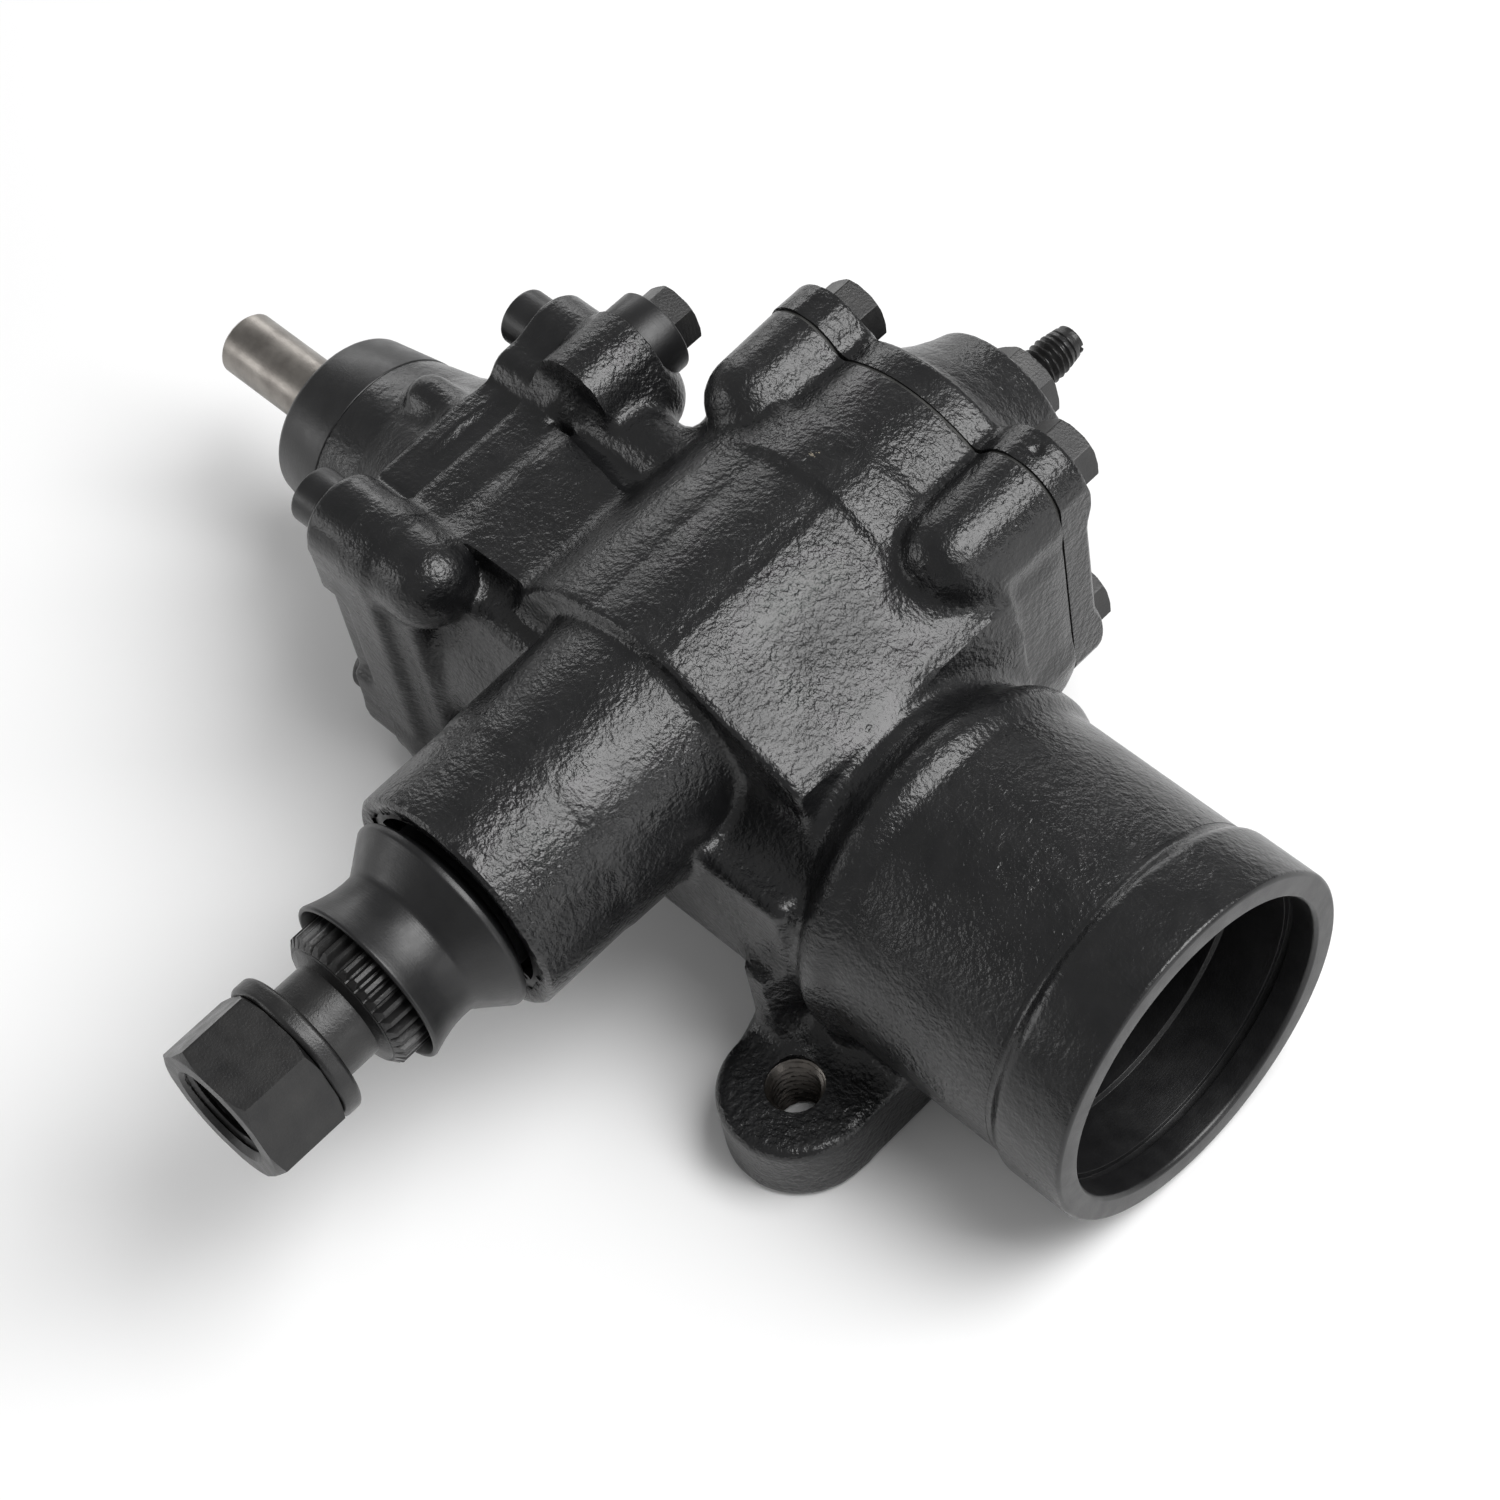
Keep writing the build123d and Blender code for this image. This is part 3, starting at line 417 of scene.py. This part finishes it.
washer = contour("lock_washer_sprung", f_washer, (-18.2, -134.5, S - 18.2), (18.2, -129.5, S + 18.2), 0.38, margin=0.5)

boot_prof = [(-77.6, 17.55), (-77.6, 19.2), (-85.4, 19.4), (-87.4, 23.6), (-88.4, 25.2, 0.5), (-90.0, 25.3, 0.5), (-97.6, 19.6, 0.8), (-98.6, 19.15, 0.6), (-101.0, 19.1, 1.5), (-104.0, 19.35, 1.5), (-107.5, 20.15, 1.5),
             (-110.9, 21.25, 0.35), (-111.5, 21.0, 0.3), (-111.6, 20.2, 0.3), (-107.0, 18.6, 1.5), (-101.0, 17.9), (-89.5, 17.85), (-89.0, 17.55)]
boot = lathe("dust_boot_spun", rounded(boot_prof, 0.3, 3), "y", (0, 0, S), 256, 18)

M_G, N_G = 3.6, 10
PA = math.radians(25.0)
RP = M_G * N_G / 2
rb = RP * math.cos(PA)
r_tip, r_root = RP + M_G - 0.1, RP - 1.25 * M_G + 0.1
def inv(r):
    a = math.acos(min(1.0, rb / r)); return math.tan(a) - a
hpa = (math.pi / 2 * M_G - 0.30) / 2 / RP
flank = [(rb + (r_tip - rb) * i / 8, hpa + inv(RP) - inv(rb + (r_tip - rb) * i / 8)) for i in range(9)]
tooth = [(r_root - 1.5, -flank[0][1]), (r_root, -flank[0][1])] + [(r, -h) for r, h in flank] + [(r, h) for r, h in reversed(flank)] + [(r_root, flank[0][1]), (r_root - 1.5, flank[0][1])]
back_pts = [(-16.5, 0), (-16.5, 6.5), (-11, 14.5), (0, 17.4), (11, 14.5), (16.5, 6.5), (16.5, 0)]

def f_inner(x, y, z):
    zs = z - S
    rr = np.hypot(x, zs)
    k = np.interp(y, [-18.6, -18.5, 18.5, 18.6], [17.42, r_root, r_root, 17.42]).astype(F)
    d = capped(rr - k, np.abs(y + 12.5) - 76.4, 0.4)
    for i in range(-2, 3):
        c = i * 2 * math.pi / N_G
        pts = [(r * math.sin(t + c), -r * math.cos(t + c)) for r, t in tooth]
        d = np.minimum(d, extrude(poly(x, zs, pts), y, -17.5, 17.5, 0.2))
    d = np.minimum(d, extrude(poly(x, zs, back_pts), y, -18.4, 18.4, 0.2))
    return np.maximum(d, -cyl(x, zs, y, 9.2, 55.8, 70))

def f_outer(x, y, z):
    zs = z - S
    rr = np.hypot(x, zs)
    th = np.arctan2(zs, x)
    k = np.interp(y, [-143.5, -142.5, -130.2, -129.2, -119.8, -118.6, -116.8, -90.6, -89.6, -88.0],
                     [9.9, 10.9, 10.9, 12.2, 12.2, 15.2, 16.1, 16.1, 17.4, 17.4]).astype(F)
    d = capped((rr - k) * 0.8, np.abs(y + 115.75) - 27.75, 0.2)
    ph = np.abs(((th * 36 / (2 * math.pi)) % 1.0) - 0.5) * 2
    ridge_r = 15.9 + 1.85 * np.clip(1.5 - ph * 1.7, 0, 1)
    top = np.interp(y, [-118.4, -116.9, -91.5, -90.4], [15.9, 17.75, 17.75, 16.8]).astype(F)
    s = np.maximum((rr - np.minimum(ridge_r, top)) * 0.6, np.abs(y + 104.4) - 14.0)
    return np.minimum(d, s)

sector_in = contour("sector_gear", f_inner, (-21.8, -88.8, S - 21.8), (21.8, 63.9, S + 17.6), 0.75, margin=0.5, smooth_deg=30)
sector_out = contour("sector_serrated_end", f_outer, (-17.8, -143.5, S - 17.8), (17.8, -88, S + 17.8), 0.34, margin=0.5, smooth_deg=24)
stud = contour("sector_stud_thread", lambda x, y, z: np.maximum((-thread(x, z - S, y, 11.0, 0.8, 1.814)) * -1, np.abs(y + 136.8) - 6.4), (-11.1, -143.2, S - 11.1), (11.1, -130.4, S + 11.1), 0.34, margin=0.5, smooth_deg=26)

# ------------------------------------------------------------ fasteners and small turned pieces
def f_hex_bolt(cx_, cz_):
    def f(x, y, z):
        u, v = x - cx_, z - cz_
        rr = np.hypot(u, v)
        d = np.maximum(hexagon(u, v, 15.0, 12), np.abs(y - 74.3) - 3.5)
        d = np.maximum(d, (rr - 7.6 + (y - 77.8) * 1.75) * 0.5)
        d = np.minimum(d, cyl(u, v, y, 8.6, 70.3, 71.2, 0.25))
        return np.minimum(d, cyl(u, v, y, 4.76, 40.0, 71.0, 0.3))
    return f

cover_heads = []
for i, (px, pz) in enumerate(CB):
    cover_heads.append(contour("cover_bolt_%d" % i, f_hex_bolt(px, pz), (px - 8.8, 40, pz - 8.8), (px + 8.8, 77.8, pz + 8.8), 0.36, margin=0.5, smooth_deg=26))

def f_cap_bolt(cy_, cz_):
    def f(x, y, z):
        u, v = y - cy_, z - cz_
        d = cyl(u, v, x, 7.14, -100.5, -91.0, 0.8)
        d = np.maximum(d, -np.maximum(hexagon(u, v, 7.94, 0), np.abs(x + 98.5) - 3.0))
        d = np.maximum(d, -cone(u, v, x, 4.7, 3.9, -100.8, -99.8))
        return np.minimum(d, cyl(u, v, x, 4.76, -91.5, -67.0, 0.4))
    return f

cap_heads = []
for i, (py, pz) in enumerate(VB):
    cap_heads.append(contour("valve_bolt_%d" % i, f_cap_bolt(py, pz), (-100.5, py - 7.2, pz - 7.2), (-67, py + 7.2, pz + 7.2), 0.38, margin=0.5, smooth_deg=30))

def f_lock_nut(x, y, z):
    zs = z - S
    rr = np.hypot(x, zs)
    d = np.maximum(hexagon(x, zs, 17.46, 8), np.abs(y - 94.3) - 4.6)
    d = np.maximum(d, (rr - 9.0 + (y - 98.9) * 1.75) * 0.5)
    d = np.maximum(d, (rr - 9.1 - (y - 89.7) * 1.75) * 0.5)
    return np.maximum(d, -cyl(x, zs, y, 5.15, 80, 110))

lock_nut = contour("lock_nut_faced", f_lock_nut, (-10.2, 89.7, S - 10.2), (10.2, 98.9, S + 10.2), 0.3, margin=0.4, smooth_deg=26)

def f_screw(x, y, z):
    zs = z - S
    rr = np.hypot(x, zs)
    d = np.minimum(cyl(x, zs, y, 8.4, 56.6, 61.0, 0.3), cyl(x, zs, y, 3.9, 60, 113.35, 0.4))
    th = thread(x, zs, y, 5.1, 0.95, 1.8)
    d = np.minimum(d, np.maximum(th, np.abs(y - 87.0) - 24.8))
    d = np.maximum(d, (rr - np.interp(y, [60, 106.5, 113.4], [6.5, 5.1, 3.9]).astype(F)) * 0.9)
    return np.maximum(d, -box(x, y, zs, -9, 9, 111.5, 116, -0.8, 0.8))

screw = contour("adjuster_threaded", f_screw, (-8.5, 56.6, S - 8.5), (8.5, 113.4, S + 8.5), 0.27, margin=0.4, smooth_deg=30)

def f_plug(px, y0, pz):
    def f(x, y, z):
        u, v = x - px, z - pz
        rr = np.hypot(u, v)
        yy = y - y0
        d = np.maximum(hexagon(u, v, 14.3, 12), np.abs(yy - 11.6) - 3.5)
        d = np.maximum(d, (rr - 7.4 + (yy - 15.1) * 1.75) * 0.5)
        return np.minimum(d, cyl(u, v, yy, 4.15, 0.6, 8.6, 0.2))
    return f

plugs, seats = [], []
for i, (px, y0, pz) in enumerate(PORTS):
    plugs.append(contour("port_plug_%d" % i, f_plug(px, y0, pz), (px - 8.4, y0 + 0.6, pz - 8.4), (px + 8.4, y0 + 15.1, pz + 8.4), 0.34, margin=0.4, smooth_deg=26))
    seats.append(lathe("port_seat_%d" % i, rounded([(y0, 4.2), (y0, 10.8), (y0 + 8.1, 10.8, 0.6), (y0 + 8.1, 7.9, 0.4), (y0 + 7.6, 7.4), (y0 + 7.6, 4.2)], 0.2, 3), "y", (px, 0, pz), 96))

cap = lathe("input_cap_turned", rounded([(-137.3, 14.2), (-137.3, 20.9, 0.8), (-136.0, 21.9, 0.5), (-120.9, 24.5, 0.6), (-120.62, 24.3), (-120.62, 21.95), (-117.1, 21.95), (-117.1, 14.2)], 0.25, 3), "x", (0, 0, H), 256)
seal = lathe("input_seal_lip", rounded([(-136.3, 7.7), (-136.3, 14.15), (-129.3, 14.15), (-129.3, 11.5), (-134.3, 11.5), (-134.9, 8.2)], 0.25, 3), "x", (0, 0, H), 160)

# ------------------------------------------------------------ materials
MATS = {}
def nodes_of(name):
    m = bpy.data.materials.new(name)
    m.use_nodes = True
    nt = m.node_tree
    for n in list(nt.nodes):
        nt.nodes.remove(n)
    out = nt.nodes.new("ShaderNodeOutputMaterial")
    bs = nt.nodes.new("ShaderNodeBsdfPrincipled")
    nt.links.new(bs.outputs[0], out.inputs[0])
    geo = nt.nodes.new("ShaderNodeTexCoord")
    return m, nt, bs, geo.outputs["Object"]

def noise(nt, co, scale, detail=3.0, rough=0.55, dist=0.0):
    n = nt.nodes.new("ShaderNodeTexNoise")
    n.inputs["Scale"].default_value = scale
    n.inputs["Detail"].default_value = detail
    n.inputs["Roughness"].default_value = rough
    n.inputs["Distortion"].default_value = dist
    nt.links.new(co, n.inputs["Vector"])
    return n.outputs["Fac"]

def ramp(nt, fac, a, b, lo, hi):
    r = nt.nodes.new("ShaderNodeMapRange")
    r.clamp = True
    r.inputs["From Min"].default_value = a
    r.inputs["From Max"].default_value = b
    r.inputs["To Min"].default_value = lo
    r.inputs["To Max"].default_value = hi
    nt.links.new(fac, r.inputs["Value"])
    return r.outputs["Result"]

def math_n(nt, op, a, b):
    m = nt.nodes.new("ShaderNodeMath")
    m.operation = op
    for i, v in enumerate((a, b)):
        if isinstance(v, (int, float)):
            m.inputs[i].default_value = v
        else:
            nt.links.new(v, m.inputs[i])
    return m.outputs[0]

def bump(nt, h, dist, strength=1.0, after=None):
    b = nt.nodes.new("ShaderNodeBump")
    b.inputs["Strength"].default_value = strength
    b.inputs["Distance"].default_value = dist
    nt.links.new(h, b.inputs["Height"])
    if after is not None:
        nt.links.new(after, b.inputs["Normal"])
    return b.outputs[0]

def colour(nt, fac, c0, c1, p0=0.0, p1=1.0):
    r = nt.nodes.new("ShaderNodeValToRGB")
    r.color_ramp.elements[0].position = p0
    r.color_ramp.elements[0].color = (*c0, 1)
    r.color_ramp.elements[1].position = p1
    r.color_ramp.elements[1].color = (*c1, 1)
    nt.links.new(fac, r.inputs[0])
    return r.outputs[0]

def mix(nt, fac, a, b):
    m = nt.nodes.new("ShaderNodeMix")
    m.data_type = "RGBA"
    nt.links.new(fac, m.inputs[0])
    nt.links.new(a, m.inputs[6]); nt.links.new(b, m.inputs[7])
    return m.outputs[2]

def scaled(nt, co, v):
    m = nt.nodes.new("ShaderNodeMapping")
    m.inputs["Scale"].default_value = v
    nt.links.new(co, m.inputs["Vector"])
    return m.outputs[0]

CHIPS = [((-2.3, 35.0, 104.0), 2.6), ((-1.1, 3.9, 103.0), 2.0), ((38.5, 46.0, 96.0), 2.6)]

def cast_paint(name, chips=(), grain=1.0):
    m, nt, bs, co = nodes_of(name)
    big = noise(nt, co, 70, 2)
    patch = ramp(nt, noise(nt, co, 38, 3), 0.35, 0.65, 0.55, 1.25)
    fine = math_n(nt, "MULTIPLY", noise(nt, co, 930, 2.5, 0.55), patch)
    vor = nt.nodes.new("ShaderNodeTexVoronoi")
    vor.feature = "SMOOTH_F1"
    vor.inputs["Scale"].default_value = 480
    vor.inputs["Smoothness"].default_value = 0.8
    nt.links.new(co, vor.inputs["Vector"])
    peb = math_n(nt, "MULTIPLY", vor.outputs["Distance"], patch)
    pit = ramp(nt, noise(nt, co, 330, 2, 0.5), 0.24, 0.33, 0.0, 1.0)
    n1 = bump(nt, big, 0.00050)
    n2 = bump(nt, peb, 0.00015 * grain, 1.0, n1)
    n3 = bump(nt, fine, 0.00032 * grain, 1.0, n2)
    n4 = bump(nt, pit, 0.00010 * grain, 1.0, n3)
    nt.links.new(n4, bs.inputs["Normal"])
    base = colour(nt, noise(nt, co, 160, 4), (0.0045, 0.0047, 0.0052), (0.0095, 0.0095, 0.0100), 0.3, 0.7)
    r = ramp(nt, noise(nt, co, 90, 4), 0.3, 0.7, 0.21, 0.33)
    if chips:
        total = None
        wob = noise(nt, co, 700, 3, 0.7)
        for (p, rad) in chips:
            v = nt.nodes.new("ShaderNodeVectorMath"); v.operation = "DISTANCE"
            nt.links.new(co, v.inputs[0]); v.inputs[1].default_value = [c * 0.001 for c in p]
            k = ramp(nt, v.outputs["Value"], 0.0, rad * 0.001, 0.42, 0.0)
            total = k if total is None else math_n(nt, "MAXIMUM", total, k)
        mask = ramp(nt, math_n(nt, "ADD", wob, total), 0.80, 0.84, 0.0, 1.0)
        tan = colour(nt, noise(nt, co, 1500, 2), (0.10, 0.085, 0.06), (0.30, 0.27, 0.21), 0.3, 0.7)
        base = mix(nt, mask, base, tan)
        r = math_n(nt, "ADD", r, math_n(nt, "MULTIPLY", mask, 0.3))
    nt.links.new(base, bs.inputs["Base Color"])
    nt.links.new(r, bs.inputs["Roughness"])
    bs.inputs["Specular IOR Level"].default_value = 0.5
    return m

def turned(name, c0, c1, metallic, r0, r1, axis="y", lines=0.00002, grain=0.00003, spec=0.5):
    m, nt, bs, co = nodes_of(name)
    sc = {"y": (60, 5200, 60), "x": (5200, 60, 60)}[axis]
    ring = noise(nt, scaled(nt, co, sc), 1.0, 2, 0.5)
    spk = noise(nt, co, 1700, 3, 0.6)
    n1 = bump(nt, ring, lines)
    n2 = bump(nt, spk, grain, 1.0, n1)
    nt.links.new(n2, bs.inputs["Normal"])
    nt.links.new(colour(nt, noise(nt, co, 130, 5, 0.6), c0, c1, 0.3, 0.72), bs.inputs["Base Color"])
    nt.links.new(ramp(nt, noise(nt, co, 210, 4, 0.6), 0.3, 0.7, r0, r1), bs.inputs["Roughness"])
    bs.inputs["Metallic"].default_value = metallic
    bs.inputs["Specular IOR Level"].default_value = spec
    return m

m_cast = cast_paint("casting_paint", CHIPS)
m_satin_x = turned("satin_black_x", (0.006, 0.006, 0.0065), (0.011, 0.011, 0.0115), 0.0, 0.30, 0.42, "x", 0.00002, 0.00004)
m_satin = turned("satin_black", (0.004, 0.004, 0.0045), (0.008, 0.008, 0.0085), 0.0, 0.33, 0.44, "y", 0.00002, 0.00003)
m_oxide = turned("black_oxide", (0.008, 0.008, 0.0085), (0.020, 0.0195, 0.019), 0.12, 0.30, 0.44, "y", 0.00001, 0.00008)
m_bright = turned("bright_steel", (0.20, 0.185, 0.17), (0.33, 0.31, 0.285), 1.0, 0.30, 0.44, "x", 0.00003, 0.00002)
m_oiled = turned("oiled_steel", (0.05, 0.05, 0.052), (0.12, 0.115, 0.11), 0.7, 0.28, 0.45, "y", 0.00002, 0.00003)
m_cast_v = cast_paint("casting_paint_smooth", (), 0.55)
m_bare = turned("bare_thread", (0.10, 0.095, 0.09), (0.22, 0.20, 0.18), 1.0, 0.3, 0.45, "y", 0.00001, 0.00003)
m_ball = turned("ball_steel", (0.55, 0.55, 0.56), (0.68, 0.68, 0.69), 1.0, 0.08, 0.16, "y", 0.000004, 0.000005)
m_bronze = turned("bearing_bronze", (0.30, 0.20, 0.09), (0.50, 0.36, 0.17), 0.9, 0.28, 0.42, "y")
m_rubber = turned("seal_rubber", (0.012, 0.012, 0.012), (0.024, 0.024, 0.024), 0.0, 0.5, 0.66, "x", 0.00001, 0.00003)
m_ptfe = turned("ptfe", (0.25, 0.15, 0.07), (0.36, 0.23, 0.12), 0.0, 0.45, 0.6, "x")
m_gasket = turned("gasket_sheet", (0.02, 0.02, 0.019), (0.05, 0.05, 0.047), 0.0, 0.6, 0.8, "x", 0.00001, 0.00006)

def paint(o, m):
    o.data.materials.clear()
    o.data.materials.append(m)

BY_SLOT = {"casting_paint": m_cast, "satin_black": m_satin_x, "black_oxide": m_oxide, "bright_steel": m_bright, "oiled_steel": m_oiled, "ball_steel": m_ball,
           "bearing_bronze": m_bronze, "seal_rubber": m_rubber, "ptfe": m_ptfe, "gasket_sheet": m_gasket}
SLOT = {s["node"]: s["material_slot"] for s in frame["record"]["subparts"]}
for n, o in frame["nodes"].items():
    paint(o, BY_SLOT[SLOT[n]])

def place(o, mat, body, slot, *nodes):
    paint(o, mat)
    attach(o, body)
    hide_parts(*nodes)

place(casting, m_cast, "housing", "casting_paint", "main_housing")
place(band, m_cast_v, "housing", "casting_paint", "main_housing")
band.data.materials.append(m_satin_x)
for p in band.data.polygons:
    r = math.hypot(p.center.y, p.center.z - H / 1000) * 1000
    if p.center.x * 1000 > 134.8 or r < 40.5:
        p.material_index = 1
place(ear_thread, m_bare, "housing", "casting_paint", "main_housing")
place(valve, m_cast_v, "housing", "casting_paint", "valve_housing")
place(cover, m_cast, "housing", "casting_paint", "side_cover")
place(nut, m_oxide, "sector", "black_oxide", "pitman_nut")
place(washer, m_oxide, "sector", "black_oxide", "lock_washer")
place(boot, m_satin, "sector", "satin_black", "dust_boot")
for o in (sector_in, sector_out, stud):
    place(o, m_oxide, "sector", "oiled_steel", "sector_shaft")
for o in cover_heads:
    place(o, m_oxide, "housing", "black_oxide", "side_cover_bolts")
for o in cap_heads:
    place(o, m_satin_x, "housing", "satin_black", "valve_housing_bolts")
place(lock_nut, m_oxide, "housing", "black_oxide", "adjuster_lock_nut")
place(screw, m_oxide, "housing", "black_oxide", "adjuster_screw")
for o in plugs:
    place(o, m_oxide, "housing", "black_oxide", "port_plugs")
for o in seats:
    place(o, m_satin, "housing", "satin_black", "port_seats")
place(cap, m_satin_x, "housing", "satin_black", "input_cap")
place(seal, m_rubber, "housing", "seal_rubber", "input_seal")

# ------------------------------------------------------------ floor, light, camera
fv = [(-6, -6, -0.0004), (6, -6, -0.0004), (6, 6, -0.0004), (-6, 6, -0.0004)]
floor = mesh("floor", fv, [(0, 1, 2, 3)], scale=1.0)
mf, nt, bs, co = nodes_of("floor_pale")
nt.links.new(colour(nt, noise(nt, co, 3.0, 2), (0.88, 0.88, 0.88), (0.92, 0.92, 0.92), 0.2, 0.8), bs.inputs["Base Color"])
bs.inputs["Roughness"].default_value = 0.85
bs.inputs["Specular IOR Level"].default_value = 0.1
paint(floor, mf)

world = bpy.data.worlds.new("studio")
bpy.context.scene.world = world
world.use_nodes = True
bg = world.node_tree.nodes["Background"]
bg.inputs[0].default_value = (1, 1, 1, 1)
bg.inputs[1].default_value = 0.34

def area(name, pos, target, sx, sy, power):
    l = bpy.data.lights.new(name, "AREA")
    l.shape = "RECTANGLE"; l.size = sx; l.size_y = sy; l.energy = power
    o = bpy.data.objects.new(name, l)
    o.location = pos
    o.rotation_euler = (Vector(target) - Vector(pos)).to_track_quat("-Z", "Y").to_euler()
    bpy.context.scene.collection.objects.link(o)
    return o

az, el, roll = math.radians(55.03), math.radians(55.5), math.radians(-12.9)
right = Vector((math.cos(az), math.sin(az), 0))
back = Vector((math.sin(az) * math.cos(el), -math.cos(az) * math.cos(el), math.sin(el)))
up = back.cross(right)
c, s = math.cos(roll), math.sin(roll)
r2 = right * c + up * s
u2 = up * c - right * s
cam = bpy.data.cameras.new("camera")
cam.lens = 95.216
cam.sensor_width = 36.0
cam.clip_start = 0.05
cam.clip_end = 30
co_ = bpy.data.objects.new("camera", cam)
R = Matrix((r2, u2, back)).transposed().to_4x4()
co_.matrix_world = Matrix.Translation(Vector((0.4231, -0.2969, 0.7829))) @ R
bpy.context.scene.collection.objects.link(co_)
bpy.context.scene.camera = co_

def toward(dx, dy, dz, dist):
    """a point at camera-space direction (right, up, towards the camera) from the object"""
    v = (r2 * dx + u2 * dy + back * dz).normalized() * dist
    return Vector((-0.01, -0.01, 0.05)) + v

T = (-0.01, -0.01, 0.05)
def world_dir(v, dist):
    return Vector(T) + Vector(v).normalized() * dist

area("key", world_dir((0.46, 0.32, 0.83), 1.6), T, 1.0, 1.15, 29)
area("back", world_dir((-0.75, 0.62, 0.30), 1.7), T, 1.3, 0.45, 6)
area("left", world_dir((-0.75, -0.75, 0.28), 1.7), T, 0.9, 0.5, 4)
area("right", world_dir((0.95, 0.10, 0.16), 1.7), T, 0.9, 0.35, 3)
bpy.context.scene.view_settings.view_transform = "Standard"
